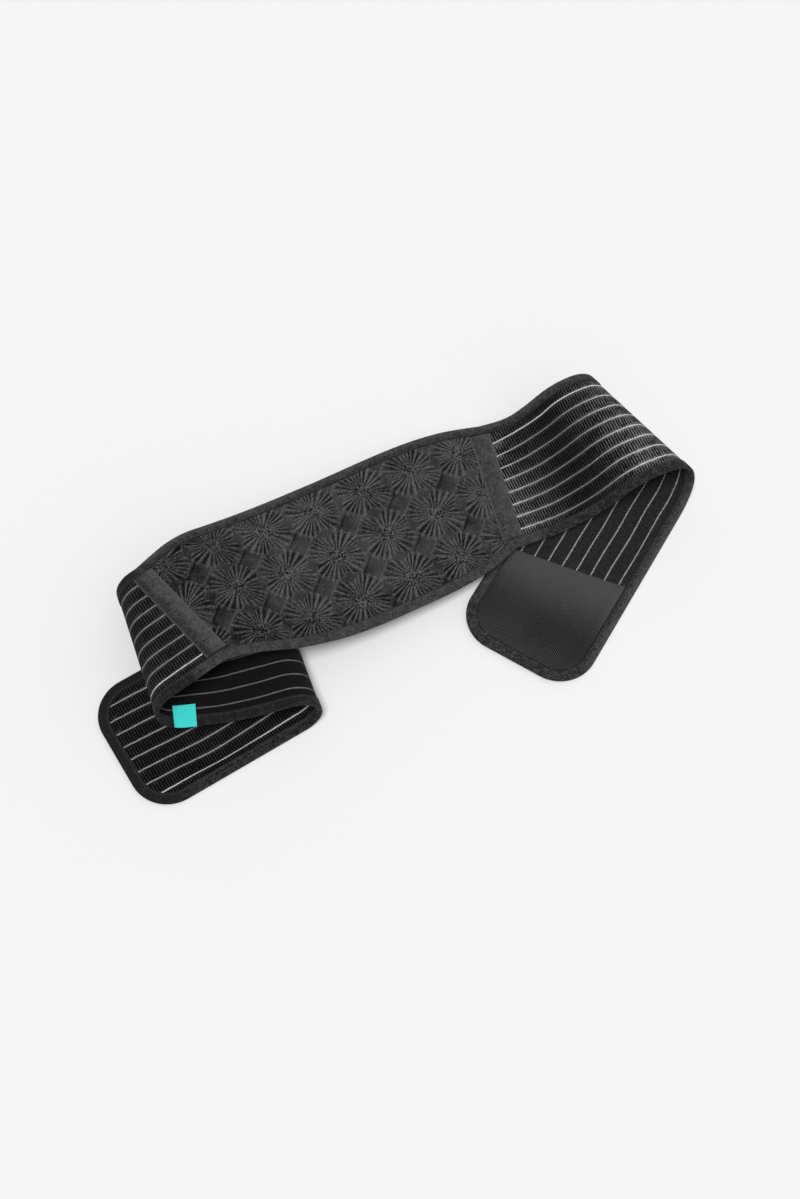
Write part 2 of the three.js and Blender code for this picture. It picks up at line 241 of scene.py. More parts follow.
def finish_piece(piece, node):
    """Points every face outwards, smooths the shading, hangs the piece under the root and hides the imported
    node it stands for.
    """
    bpy.ops.object.select_all(action="DESELECT")
    piece.select_set(True)
    bpy.context.view_layer.objects.active = piece
    bpy.ops.object.mode_set(mode="EDIT")
    bpy.ops.mesh.select_all(action="SELECT")
    bpy.ops.mesh.normals_make_consistent(inside=False)
    bpy.ops.object.mode_set(mode="OBJECT")
    bpy.ops.object.shade_smooth_by_angle(angle=math.radians(SMOOTH_BELOW))
    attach(piece, "root")
    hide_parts(node)
    print(piece.name, "has", len(piece.data.polygons), "faces")


print("cloth is cut, thickened and shaped flat, and laid last")

# %% [markdown]
# ## Back panel
# The panel is padded and knitted in relief: pleated four-petal rosettes in a checkerboard
# with small smooth squares. Bump alone would look flat from the side, so the rosettes are real shape:
# the outer face is divided finely and each point is raised by a height worked out from its place in the cut.
# Near the rim the padding is pressed flat by sewing.

# %% Rosettes
ROSETTE_PITCH = 51.07
ROSETTE_COLUMN = -106.4  # x of one column of rosettes
ROSETTE_ROW = 50.5  # y of one row
UNLIKE_COLUMN = 12.9  # odd steps from one column and one row to the next, so that no two rosettes are alike
UNLIKE_ROW = 78.2


def in_rosette(x, y):
    """Where points lie in their rosettes, and a number from -1 to 1 that differs between rosettes."""
    across = (x - ROSETTE_COLUMN) / ROSETTE_PITCH
    up = (y - ROSETTE_ROW) / ROSETTE_PITCH
    column = np.round(across)
    row = np.round(up)
    unlike = np.sin(UNLIKE_COLUMN * column + UNLIKE_ROW * row)
    return (across - column) * ROSETTE_PITCH, (up - row) * ROSETTE_PITCH, unlike


def on_diagonals(u, v):
    """The same places measured along the two diagonals, which the arms and the squares follow."""
    return (u + v) / math.sqrt(2), (v - u) / math.sqrt(2)


print("rosettes along the panel:", round(2 * PANEL_HALF / ROSETTE_PITCH, 1))

# %% Pleated arms
ARM_HALF = 10.2  # each rosette is a plus of four pleated arms
ARM_BULGE = 3.9
ARM_FROM = 6.0  # from the heart to where the bulge begins
ARM_END = 27.2
ARM_END_ROUND = 1.2  # how much sooner an arm ends at its corners
ARM_EDGE = 0.4  # an arm begins to rise this far outside its outline
ARM_EDGE_WIDTH = 1.4
SCALLOP = 1.0  # how far each pleat reaches past the arm's end
PLEATS = 28  # round one rosette
PLEAT_RISE = 3.0  # over which a pleat comes out of the heart
GROOVE_SPREAD = 0.056  # half width of the dark slit between two pleats, for each mm from the heart
GROOVE_LEAST = 0.6
SLIT_END = 0.6  # a slit ends this far inside the arm's outline
SLIT_FADE = 2.0
SIDE_ARM_DEPTH = 0.62  # the pleats of the two side arms are made flatter than those of the upright ones, and their painted shade and highlights are weaker, as the light falls across the upright ones
CREST_HALF = 0.75  # of the thin light line along the top of each pleat, a painted highlight
HEART_RADIUS = 8.0  # the knotted middle, where the pleats begin
HEART_CORE = 0.6  # share of it that is knotted all over
HEART_SHARE = 0.8  # share of it at which the pleats begin, on average
DEPTH_SHARE = 0.75  # how deep the slits are, on average
START_SWAY = 2.0  # how differently the pleats start on each rosette
# size, waves round the rosette, and how differently they start on each rosette
BROAD_SWAY = (0.06, 3, 5)
FINE_SWAY = (0.03, 7, 3)
HEART_WAVE = (0.25, 9, 5)
DEPTH_WAVE = (0.25, 5, 7)


def wave(shape, bearing, unlike):
    """A wave round the heart that starts elsewhere on each rosette."""
    size, waves, start = shape
    return size * np.sin(waves * bearing + start * unlike)


def pleated_arms(p, q, unlike):
    """How much arm, slit, crest and heart there is at each point, and how upright its arm is, from 0 to 1."""
    far = np.maximum(np.abs(p), np.abs(q))
    side = np.minimum(np.abs(p), np.abs(q))
    radius = np.hypot(p, q)
    bearing = np.arctan2(q, p)
    angle = bearing + wave(BROAD_SWAY, bearing, unlike) + wave(FINE_SWAY, bearing, unlike)
    turn = PLEATS * angle + START_SWAY * unlike
    off_groove = radius / PLEATS * np.abs((turn + math.pi) % (2 * math.pi) - math.pi)
    off_crest = radius * math.pi / PLEATS - off_groove
    upright = smooth(p**2 / np.maximum(radius, 1.0) ** 2)
    # the side arms' pleats are made shallower, and their painted slit shade and crest highlights weaker
    pressed = SIDE_ARM_DEPTH + (1.0 - SIDE_ARM_DEPTH) * upright
    along_arm = np.clip((far - ARM_FROM) / (ARM_END - ARM_FROM), 0.0, 1.0)
    half = ARM_HALF + ARM_BULGE * np.sin(math.pi * along_arm)
    end = ARM_END - SCALLOP * np.cos(turn) - ARM_END_ROUND * (side / ARM_HALF) ** 2
    inside = np.minimum(half - side, end - far)
    arm = smooth((inside + ARM_EDGE) / ARM_EDGE_WIDTH)
    begin = HEART_RADIUS * (HEART_SHARE + wave(HEART_WAVE, bearing, unlike))
    risen = smooth((radius - begin) / PLEAT_RISE)
    reach = risen * smooth((inside - SLIT_END) / SLIT_FADE)
    deep = pressed * (DEPTH_SHARE + wave(DEPTH_WAVE, bearing, unlike))
    groove_half = np.maximum(GROOVE_LEAST, GROOVE_SPREAD * radius)
    groove = reach * deep * np.exp(-((off_groove / groove_half) ** 2))
    crest = arm * pressed * risen * np.exp(-((off_crest / CREST_HALF) ** 2))
    heart = 1.0 - smooth((radius - HEART_CORE * HEART_RADIUS) / HEART_RADIUS)
    return arm, groove, crest, heart, upright


print("pleats round a rosette:", PLEATS)

# %% Sunken squares
SQUARE_HALF = 7.6  # of the smooth squares where four arms meet
SQUARE_EDGE = 0.5
CORD_HALF = 0.8  # of the thin straight raised line along one side, painted light as a highlight, and of the painted shade line along the other
CORD_OFF = 0.9  # how far outside the square the raised line runs
CORD_PAST = 5.0  # how far it runs on past the corners
CORD_FADE = 3.0
SHADED_SIDE_IN = 0.3  # how far inside the square the painted shade line runs


def sunken_squares(du, dv):
    """How much square, raised line and painted shade line there is at each point, and its place across the
    square.
    """
    corner_u = du - np.sign(du) * ROSETTE_PITCH / 2
    corner_v = dv - np.sign(dv) * ROSETTE_PITCH / 2
    p, q = on_diagonals(corner_u, corner_v)
    square = smooth(SQUARE_HALF + SQUARE_EDGE - np.maximum(np.abs(p), np.abs(q)))
    along_side = smooth((SQUARE_HALF + CORD_PAST - np.abs(p)) / CORD_FADE)
    cord = along_side * np.exp(-(((q + SQUARE_HALF + CORD_OFF) / CORD_HALF) ** 2))
    shaded_side = along_side * np.exp(-(((q - SQUARE_HALF + SHADED_SIDE_IN) / CORD_HALF) ** 2))
    return square, cord, shaded_side, q


print("smooth squares:", 2 * SQUARE_HALF, "mm on a side")

# %% Relief and yarn
# heights and depths in mm
ARM_HEIGHT = 1.5
GROOVE_DEPTH = 1.0
CREST_HEIGHT = 0.2
CORD_HEIGHT = 0.55
SQUARE_DEPTH = 0.5
# how light the yarn is painted, from 0 to 1, with painted shade in the slits, on the side arms and along the
# squares' shaded sides, and a painted highlight on the crests and raised lines
GROUND_TONE = 0.36
SQUARE_TONE = 0.345
SQUARE_SHADE_FALL = 0.012  # painted shade: how much darker a square is painted for each mm towards its shaded side
# painted shade: the side arms are painted darker than the upright ones
UPRIGHT_TONE = 0.585
SIDE_TONE = 0.44
# painted shade in the slits between the pleats
GROOVE_SHADE_TONE = -0.22
# a painted highlight on the crests of the pleats
CREST_HIGHLIGHT_TONE = 0.95
# a painted highlight on the raised lines beside the squares
CORD_HIGHLIGHT_TONE = 0.85
# painted shade along the squares' shaded sides
SHADED_SIDE_DARKER = 0.22
ARM_KNOTS = 0.4  # how knotted the arms are


def rosette_relief(x, y):
    """Height of the relief over its ground in mm, how light the yarn is painted with its painted shade and
    highlights, and how knotted, from 0 to 1.
    """
    du, dv, unlike = in_rosette(x, y)
    p, q = on_diagonals(du, dv)
    arm, groove, crest, heart, upright = pleated_arms(p, q, unlike)
    square, cord, shaded_side, across_square = sunken_squares(du, dv)
    height = ARM_HEIGHT * arm - GROOVE_DEPTH * groove + CREST_HEIGHT * crest
    height = height + CORD_HEIGHT * cord - SQUARE_DEPTH * square
    arm_tone = SIDE_TONE + (UPRIGHT_TONE - SIDE_TONE) * upright
    square_tone = SQUARE_TONE - SQUARE_SHADE_FALL * across_square
    tone = GROUND_TONE + (arm_tone - GROUND_TONE) * arm
    tone = tone + (square_tone - GROUND_TONE) * square * (1.0 - arm)
    tone = tone + (GROOVE_SHADE_TONE - arm_tone) * groove + (CREST_HIGHLIGHT_TONE - arm_tone) * crest
    tone = tone + (CORD_HIGHLIGHT_TONE - tone) * cord - SHADED_SIDE_DARKER * shaded_side
    knotted = np.maximum(heart, ARM_KNOTS * arm)
    return height, np.clip(tone, 0.0, 1.0), knotted


print("relief of the panel:", ARM_HEIGHT + SQUARE_DEPTH, "mm deep")

# %% Panel outline and padding
seam_tilt = math.tan(math.radians(WING_ANGLE + SEAM_SLANT))
seam_corner = wing_to_cut(SEAM_REACH, HALF_WIDTH)[1]


def panel_edges(along):
    """y of the panel's far and near edges, along going from -1 at the left seam to 1 at the right one."""
    swell = 1.0 - np.abs(along) ** np.where(along < 0, LEFT_POWER, SWELL_POWER)
    flare = flare_at(1, SEAM_REACH) * smooth(along)
    return seam_corner + LONG_EDGE_RISE * swell + flare, -seam_corner - SHORT_EDGE_RISE * swell


PANEL_CELLS = (87, 42)
OUTER_CUTS = 4  # extra cuts of each cell on the outer face
SIDES_APART = 1.0  # only tells the two sides apart, and their real heights come later

panel = cut_sheet("padded_back_panel", *PANEL_CELLS)
thicken(panel, SIDES_APART)
bpy.ops.object.mode_set(mode="EDIT")
bpy.ops.mesh.select_mode(type="FACE")
bpy.ops.mesh.select_all(action="DESELECT")
bpy.ops.object.mode_set(mode="OBJECT")
panel.data.polygons.foreach_set("select", face_up(panel))
bpy.ops.object.mode_set(mode="EDIT")
bpy.ops.mesh.subdivide(number_cuts=OUTER_CUTS)
bpy.ops.object.mode_set(mode="OBJECT")
print("points on the panel:", len(panel.data.vertices))

# %% Shape and lay the panel
RELIEF_GROUND = 1.1  # how far the ground between the rosettes lies below the padding's face
GROUND_FROM = 9.0  # from the rim to where the ground begins to sink
GROUND_SLOPE = 8.0
RELIEF_FROM = 7.0  # from the rim to where the relief begins
RELIEF_SLOPE = 4.0
LEFT_END_SHADE = 0.15  # painted shade: the yarn is painted a little darker at the left end and on the near side
LEFT_END_FROM = -40.0
LEFT_END_RUN = 80.0
NEAR_SIDE_SHADE = 0.10
NEAR_SIDE_FROM = -30.0
NEAR_SIDE_RUN = 30.0

flat = points_of(panel)
inset = BINDING_CLOTH + CLEARANCE
along = flat[:, 0]
far_edge, near_edge = panel_edges(along)
far_edge = far_edge - inset
near_edge = near_edge + inset
panel_y = near_edge + (flat[:, 1] + 1.0) / 2.0 * (far_edge - near_edge)
panel_x = along * (PANEL_HALF + panel_y * seam_tilt - CLEARANCE)
from_edge = np.minimum(far_edge - panel_y, panel_y - near_edge)
from_edge = np.minimum(from_edge, (1.0 - np.abs(along)) * PANEL_HALF)
padding = (PANEL_THICK - CLOTH) / 2 * smooth((from_edge - PRESSED_BORDER) / PADDING_SLOPE)
relief, yarn_and_painted_light, knotted = rosette_relief(panel_x, panel_y)
# painted shade at the left end and on the near side of the panel
yarn_and_painted_light = yarn_and_painted_light - LEFT_END_SHADE * smooth((LEFT_END_FROM - panel_x) / LEFT_END_RUN)
yarn_and_painted_light = yarn_and_painted_light - NEAR_SIDE_SHADE * smooth((NEAR_SIDE_FROM - panel_y) / NEAR_SIDE_RUN)
showing = smooth((from_edge - RELIEF_FROM) / RELIEF_SLOPE)
sunk = RELIEF_GROUND * smooth((from_edge - GROUND_FROM) / GROUND_SLOPE)
outer = flat[:, 2] > 0
high = CLOTH / 2 + padding + (relief - sunk) * showing
panel_h = np.where(outer, high, -CLOTH / 2 - padding)
note(panel, "cut", np.column_stack((panel_x, panel_y, panel_h)))
# each point keeps its yarn tone together with the painted shade and highlights of the relief
note(panel, "yarn_and_painted_light", np.where(outer, GROUND_TONE + (yarn_and_painted_light - GROUND_TONE) * showing, GROUND_TONE))
note(panel, "knotted", np.where(outer, knotted * showing, 0.0))
move_points(panel, lay(panel_x, panel_y, panel_h))
finish_piece(panel, "back_panel")

# %% [markdown]
# ## Elastic wings
# Each wing is ribbed elastic. On the outer face short ribs cross the wing between thin pale stripes,
# and the inner face is plain and brushed, with the same stripes.
# The sheet's rows are a quarter of a rib apart, so that the ribs are real ridges with slits between them.
# The seam's slant is cut with a bisect, as with scissors along a ruler,
# and the tip is rounded by drawing the columns in.

# %% Outline and lie of a wing
SAG = 1.4  # the elastic sags between its bound edges where it lies on the table
SAG_BORDER = 14.0
SAG_SLOPE = 9.0
SAG_RAMP = 26.0
STRIPE_PITCH = 13.5
RIPPLE = 3.0  # how far the left wing's stripes are pushed aside on the table
RIPPLE_SPAN = (265.0, 410.0)
# name, the node it stands for, side, length, where it reaches the table, and 1 if its outer face is down
WINGS = [
    ("right_elastic_wing", "right_wing", 1, RIGHT_LENGTH, 250.0, 1),
    ("left_elastic_wing", "left_wing", -1, LEFT_LENGTH, 285.0, -1),
]


def wing_half(length, w, inset):
    """Half the width of a wing at w, inset from its outline."""
    radius = TIP_RADIUS - inset
    into = np.maximum(0.0, w - (length - TIP_RADIUS))
    return HALF_WIDTH - TIP_RADIUS + np.sqrt(np.maximum(0.0, radius**2 - into**2))


def from_rim(sign, length, w, v):
    """Distance of a point of a wing from its side and tip edges."""
    from_side = HALF_WIDTH + flare_at(sign, w) * (v > 0) - np.abs(v)
    from_tip = length - w
    in_corner = (from_side < TIP_RADIUS) & (from_tip < TIP_RADIUS)
    from_arc = TIP_RADIUS - np.hypot(TIP_RADIUS - from_side, TIP_RADIUS - from_tip)
    return np.where(in_corner, from_arc, np.minimum(from_side, from_tip))


def sag_at(sign, length, table_from, table_face, w, v):
    """How far the elastic sags, measured out of its outer face."""
    inner = smooth((from_rim(sign, length, w, v) - SAG_BORDER) / SAG_SLOPE)
    down = smooth((w - table_from) / SAG_RAMP) * inner
    return table_face * SAG * down


def ripple_at(sign, length, w, v):
    """How far the elastic is pushed towards its near edge, on the left wing's run along the table."""
    start, end = RIPPLE_SPAN
    along = np.clip((w - start) / (end - start), 0.0, 1.0)
    inner = smooth((from_rim(sign, length, w, v) - BINDING_WIDTH) / STRIPE_PITCH)
    return -RIPPLE * np.sin(math.pi * along) ** 2 * inner * (sign < 0)


print("wings:", RIGHT_LENGTH, "and", LEFT_LENGTH, "mm long")

# %% Ribs
RIB_PITCH = 2.6
ROWS_PER_RIB = 4
BAND_SHIFT = 3  # rows by which the ribs of each band start later than those of the one before
SLIT_SHARE = 0.9  # of the way from the slit to the top of the rib that its side takes up
RIB_FROM_STRIPE = 0.5  # the slits stop this far from a stripe
RIB_FADE = 1.6
# Painted light and shade on both faces of the elastic, from 0 to 1: lighter on level parts and outward bends,
# darker on the way up the right loop and on the left wing.
DEEPEST_SHADE_AT = 75.0  # where the painted shade on the right wing is deepest, on the way up the loop
SHADE_REACH = 62.0
SEAM_LIGHT = 0.75  # how much painted light comes back towards the seam
LEFT_LIGHT = 0.1
TABLE_LIGHT = 0.25  # painted light on the left wing's run along the table
TABLE_RUN = (190.0, 60.0)  # where that run starts, and how soon


def rib_relief(w, v):
    """1 on top of a rib and 0 in the slit beside it. The ribs close up at the stripes."""
    band = np.floor(v / STRIPE_PITCH + 0.5)
    shift = ((BAND_SHIFT * band) % ROWS_PER_RIB) / ROWS_PER_RIB
    phase = np.abs((w / RIB_PITCH + shift) % 1.0 - 0.5) / 0.5
    slit = 1.0 - smooth(phase / SLIT_SHARE)
    from_stripe = np.abs((v / STRIPE_PITCH) % 1.0 - 0.5) * STRIPE_PITCH
    return 1.0 - slit * smooth((from_stripe - RIB_FROM_STRIPE) / RIB_FADE)


def on_table(sign, w):
    """1 where the left wing runs along the table, and 0 everywhere else."""
    start, ramp_length = TABLE_RUN
    return smooth((w - start) / ramp_length) * (sign < 0)


def painted_light_at(sign, w):
    """How much painted light the elastic gets, from 0 to 1. On the right it turns to painted shade on the way
    up the loop.
    """
    if sign < 0:
        return LEFT_LIGHT + (TABLE_LIGHT - LEFT_LIGHT) * on_table(sign, w)
    most = np.where(w < DEEPEST_SHADE_AT, SEAM_LIGHT, 1.0)
    return most * np.minimum(1.0, ((w - DEEPEST_SHADE_AT) / SHADE_REACH) ** 2)


print("ribs along the right wing:", round(RIGHT_LENGTH / RIB_PITCH))

# %% Cut a wing
STRIPES = 8
STRIPE_COLUMNS = (-3.6, -0.9, 0.0, 0.9, 3.6)  # columns of points beside each stripe
EDGE_COLUMN = 54.5  # the last column before the binding


def cut_wing(name, sign, length):
    """A flat wing with a slanted seam and a rounded tip, w along it and v across it."""
    inset = BINDING_CLOTH + CLEARANCE
    reach = HALF_WIDTH - inset
    stripes = (np.arange(STRIPES) - (STRIPES - 1) / 2) * STRIPE_PITCH
    inner_columns = (stripes[:, None] + np.array(STRIPE_COLUMNS)).ravel()
    columns = np.concatenate(([-reach, -EDGE_COLUMN], inner_columns, [EDGE_COLUMN, reach]))
    row = RIB_PITCH / ROWS_PER_RIB
    first = -row * math.ceil(SEAM_REACH / row)
    rows = int((length - inset - first) / row)
    sheet = cut_sheet(name, rows, len(columns) - 1)
    grid = points_of(sheet)
    share = (grid[:, 0] + 1.0) / 2.0
    w = first + share * (length - inset - first)
    v = columns[np.rint((grid[:, 1] + 1.0) / 2.0 * (len(columns) - 1)).astype(int)]
    v = v * wing_half(length, w, inset) / reach
    v = np.where(v > 0, v * (1.0 + flare_at(sign, w) / reach), v)
    move_points(sheet, np.column_stack((w, v, np.zeros_like(w))))
    bpy.ops.object.mode_set(mode="EDIT")
    bpy.ops.mesh.select_all(action="SELECT")
    square_to_seam = Vector((1.0, -SEAM_LEAN, 0.0)).normalized()
    bpy.ops.mesh.bisect(plane_co=(CLEARANCE, 0, 0), plane_no=square_to_seam, clear_inner=True)
    bpy.ops.object.mode_set(mode="OBJECT")
    thicken(sheet, CLOTH)
    return sheet


print("stripes across a wing:", STRIPES)

# %% Rib and lay the wings
RIB_HEIGHT = 0.5
RIBS_FROM = 7.0  # from the rim to where the ribs begin
RIBS_SLOPE = 2.0
TABLE_RIBS = 0.7  # how much of the ribs still catches the light on the left wing's run along the table
SHEEN_STRIPE_FROM = 40.5  # across the wing: the last stripe on one side gets a painted sheen


def elastic_wing(name, sign, length, table_from, table_face):
    """A laid wing. Its first material is for the outer face and its second for the inner one."""
    sheet = cut_wing(name, sign, length)
    inner_side = np.where(face_up(sheet), 0, 1).astype(np.int32)
    sheet.data.polygons.foreach_set("material_index", inner_side)
    grid = points_of(sheet)
    w, v = grid[:, 0], grid[:, 1]
    outer = grid[:, 2] > 0
    showing = smooth((from_rim(sign, length, w, v) - RIBS_FROM) / RIBS_SLOPE)
    rib = rib_relief(w, v) * showing
    raised = np.where(outer, RIB_HEIGHT * (rib - 0.5) * showing, 0.0)
    h = grid[:, 2] + sag_at(sign, length, table_from, table_face, w, v) + raised
    note(sheet, "cut", np.column_stack((w, v, h)))
    # the relief also paints shade into the slits between the ribs, weaker on the left wing's run along the
    # table
    catching = 1.0 - (1.0 - TABLE_RIBS) * on_table(sign, w)
    note(sheet, "relief", np.where(outer, rib * catching, 1.0))
    # painted light and shade for both faces
    note(sheet, "painted_light", painted_light_at(sign, w))
    # a painted sheen on the last stripe on one side
    note(sheet, "painted_sheen", np.where(sign * v > SHEEN_STRIPE_FROM, 1.0, 0.0))
    move_points(sheet, lay_wing(sign, w, v + ripple_at(sign, length, w, v), h))
    return sheet


wings = {}
for name, node, sign, length, table_from, table_face in WINGS:
    wings[node] = elastic_wing(name, sign, length, table_from, table_face)
    finish_piece(wings[node], node)

# %% [markdown]
# ## Edge binding
# A brushed tape is folded over the raw rim all the way round. A curve with a bevel could follow the rim,
# but its section would twist on the folds. So a grid is bent into a ring with a closed section:
# one way it follows the belt's rim, the other way it goes round the section of the folded tape,
# and merging the doubled points sews both ends shut.
# The section is rounded at the rim, with a groove where the stitching pulls it in.

# %% Section of the folded tape
STITCH_IN = 1.8  # stitching to the tape's inner edge
STITCH_SPREAD = 0.5
GROOVE = 0.22  # how far the stitching pulls the tape in
LIP_DEPTHS = (0.0, 0.25, 0.9, 1.4, 1.8, 2.2, 2.7, 3.8, 5.2, 6.6, 7.9)  # points across the tape from its lip
LIP_ROUND = 0.35
BACK_ROUND = 0.4
RIM_STEPS = 7


def stitch_dip(from_lip):
    """How far the stitching pulls a tape in, at some distance from its lip."""
    return GROOVE * np.exp(-(((from_lip - STITCH_IN) / STITCH_SPREAD) ** 2))


def tape_section():
    """Points round the section: depth in from the rim, and height off the cloth's middle."""
    inner = CLOTH / 2 + CLEARANCE
    outer = inner + BINDING_CLOTH
    face = []
    for i, from_lip in enumerate(LIP_DEPTHS):
        rounding = LIP_ROUND if i == 0 else 0.0
        face.append((BINDING_WIDTH - from_lip, outer - stitch_dip(from_lip) - rounding))
    turn = []
    for i in range(1, RIM_STEPS):
        angle = math.pi * i / RIM_STEPS
        turn.append((outer * (1.0 - math.sin(angle)), outer * math.cos(angle)))
    back = [
        (BINDING_WIDTH, -inner),
        (BINDING_CLOTH + BACK_ROUND, -inner),
        (BINDING_CLOTH, 0.0),
        (BINDING_CLOTH + BACK_ROUND, inner),
        (BINDING_WIDTH, inner),
    ]
    other = [(depth, -h) for depth, h in reversed(face)]
    return np.array(face + turn + other + back)


section = tape_section()
print("points round the section:", len(section))

# %% Rim of the belt
RIM_STEP = 2.0


def steps_between(start, end):
    """How many steps the rim is cut into from start to end."""
    return max(2, int(abs(end - start) / RIM_STEP))


def panel_rim(edge):
    """Stations along a panel edge, from left to right: functions of depth that give x and y in the cut."""
    stations = []
    count = steps_between(-PANEL_HALF, PANEL_HALF)
    for i in range(count + 1):
        along = 2.0 * i / count - 1.0

        def place(depth, along=along):
            edges = panel_edges(along)
            y = edges[0] - depth if edge == "far" else edges[1] + depth
            return along * (PANEL_HALF + y * seam_tilt), y

        stations.append(place)
    return stations


def wing_rim(sign, length):
    """Stations of a wing's rim: out along the far edge, round the tip, and back along the near edge."""
    corner = length - TIP_RADIUS
    flat_end = HALF_WIDTH - TIP_RADIUS
    far = []  # each station is the centre it is measured from, and its direction
    start = SEAM_REACH
    count = steps_between(start, corner)
    for i in range(2, count + 1):
        w = start + (corner - start) * i / count
        far.append((w, flat_end + flare_at(sign, w), math.pi / 2))
    arc = steps_between(0, TIP_RADIUS * math.pi / 2)
    for i in range(1, arc + 1):
        far.append((corner, flat_end, math.pi / 2 * (1 - i / arc)))
    tip = []
    count = steps_between(-flat_end, flat_end)
    for i in range(1, count):
        tip.append((corner, flat_end * (1 - 2 * i / count), 0.0))
    near = []
    count = steps_between(-start, corner)
    for i in range(2, count + 1):
        near.append((-start + (corner + start) * i / count, -flat_end, -math.pi / 2))
    for i in range(1, arc + 1):
        near.append((corner, -flat_end, -math.pi / 2 * (1 - i / arc)))
    stations = []
    for centre_w, centre_v, angle in far + tip + near[::-1]:

        def place(depth, centre_w=centre_w, centre_v=centre_v, angle=angle):
            radius = TIP_RADIUS - depth
            x, y = wing_to_cut(centre_w + radius * math.cos(angle), centre_v + radius * math.sin(angle))
            return sign * x, y

        stations.append(place)
    return stations


rim = panel_rim("far") + wing_rim(1, RIGHT_LENGTH)
rim += panel_rim("near")[::-1] + wing_rim(-1, LEFT_LENGTH)[::-1]
rim_outline = np.array([place(0.0) for place in rim])
rim_steps = np.linalg.norm(np.roll(rim_outline, -1, axis=0) - rim_outline, axis=1)
rim_along = np.concatenate(([0.0], np.cumsum(rim_steps)[:-1]))

# %% Painted light and shade on the binding
LIGHT_CHANGE = 30.0  # length over which the painted light changes
TURNED_FROM = 180.0  # past here the right wing shows its inner face
TIP_SHADE_FROM = 50.0  # painted shade: the binding is painted darker from here to the end of each tip
# painted light on the binding: how much lighter the rim is painted where it faces the light, and how much
# painted shade or light it gets in places
RIM_LIGHT_LEAN = 0.8
NEAR_RIGHT_DARKER = 0.3
LEFT_DARKER = 0.5
RUN_NEAR_LIGHTER = 0.2
RUN_FAR_DARKER = 0.1
RIGHT_TIP_DARKER = 0.18
LEFT_TIP_DARKER = 0.3


def binding_painted_light(cut_xy, share):
    """How much painted light and shade the binding gets. The rim, where share is 1, is painted lighter where
    it faces the light.
    """
    x, y = cut_xy.T
    wing = smooth((np.abs(x) - PANEL_HALF) / LIGHT_CHANGE)
    left = wing * (x < 0)
    turned = smooth((x - PANEL_HALF - TURNED_FROM) / LIGHT_CHANGE)
    far = np.clip(y / LIGHT_CHANGE, -1.0, 1.0)
    lean = np.maximum(0.0, far * (1.0 - 2.0 * turned)) * (1.0 - left)
    near_right = wing * (1.0 - left) * np.maximum(0.0, -far) * (1.0 - turned)
    on_right = x > 0
    length = np.where(on_right, RIGHT_LENGTH, LEFT_LENGTH)
    tip = smooth((np.abs(x) - PANEL_HALF - length + TIP_SHADE_FROM) / LIGHT_CHANGE)
    run = on_table(-1, np.abs(x) - PANEL_HALF) * left
    painted_pile_light = 0.5 + RIM_LIGHT_LEAN * lean * (1.0 - tip) * (share - 0.5)
    painted_pile_light = painted_pile_light - NEAR_RIGHT_DARKER * near_right - LEFT_DARKER * left
    painted_pile_light = painted_pile_light + run * (RUN_NEAR_LIGHTER * np.maximum(0.0, -far) - RUN_FAR_DARKER * np.maximum(0.0, far))
    return painted_pile_light - tip * np.where(on_right, RIGHT_TIP_DARKER, LEFT_TIP_DARKER)


print("the pile changes over", LIGHT_CHANGE, "mm")

# %% Fold the binding over the rim
MERGE_WITHIN = 1e-6

binding = cut_sheet("edge_binding_tape", len(rim), len(section))
grid = points_of(binding)
station = np.rint((grid[:, 0] + 1.0) / 2.0 * len(rim)).astype(int) % len(rim)
turn = np.rint((grid[:, 1] + 1.0) / 2.0 * len(section)).astype(int) % len(section)
cut_xy = np.array([[place(depth) for depth, _ in section] for place in rim])[station, turn]
binding_h = section[turn, 1]
from_lip = BINDING_WIDTH - section[turn, 0]
note(binding, "cut", np.column_stack((rim_along[station], from_lip, binding_h)))
# painted light and shade on the binding
note(binding, "painted_pile_light", binding_painted_light(cut_xy, from_lip / BINDING_WIDTH))
move_points(binding, lay(cut_xy[:, 0], cut_xy[:, 1], binding_h))
bpy.ops.object.mode_set(mode="EDIT")
bpy.ops.mesh.select_all(action="SELECT")
bpy.ops.mesh.remove_doubles(threshold=MERGE_WITHIN)
bpy.ops.object.mode_set(mode="OBJECT")
finish_piece(binding, "edge_binding")

# %% [markdown]
# ## Seam tapes, hook patch and label
# These are small flat pieces sewn on top of the others. A copy of the cloth below could be cut down to each,
# but a sheet of its own keeps clean edges. So each is cut to its outline, given its thickness,
# and laid with the same folds as the cloth below it. The tapes and the patch get thinner at their edges.

# %% Seam tapes
TAPE_WIDTH = 20.0
TAPE_CLOTH = 0.8
TAPE_CLEARANCE = 0.5  # the tape bridges the dip of the seam
TAPE_LIFT = CLOTH / 2 + TAPE_CLEARANCE
TAPE_DOME = 1.1  # the tape stands up a little between its two rows of stitches
TAPE_TRIM = 1.5  # how much sooner the tape's end gives way to the flare than the binding does
TAPE_CELLS = (26, 80)
EDGE_THINNING = 0.45  # share of its thickness that the tape loses at its edges
EDGE_ROUND = 0.9


def round_edges(share, width, thickness):
    """How much a flat piece thins towards its edges, share going from -1 to 1 across its width."""
    from_side = (1.0 - np.abs(share)) * width / 2
    return EDGE_THINNING * thickness * (1.0 - smooth(from_side / EDGE_ROUND))


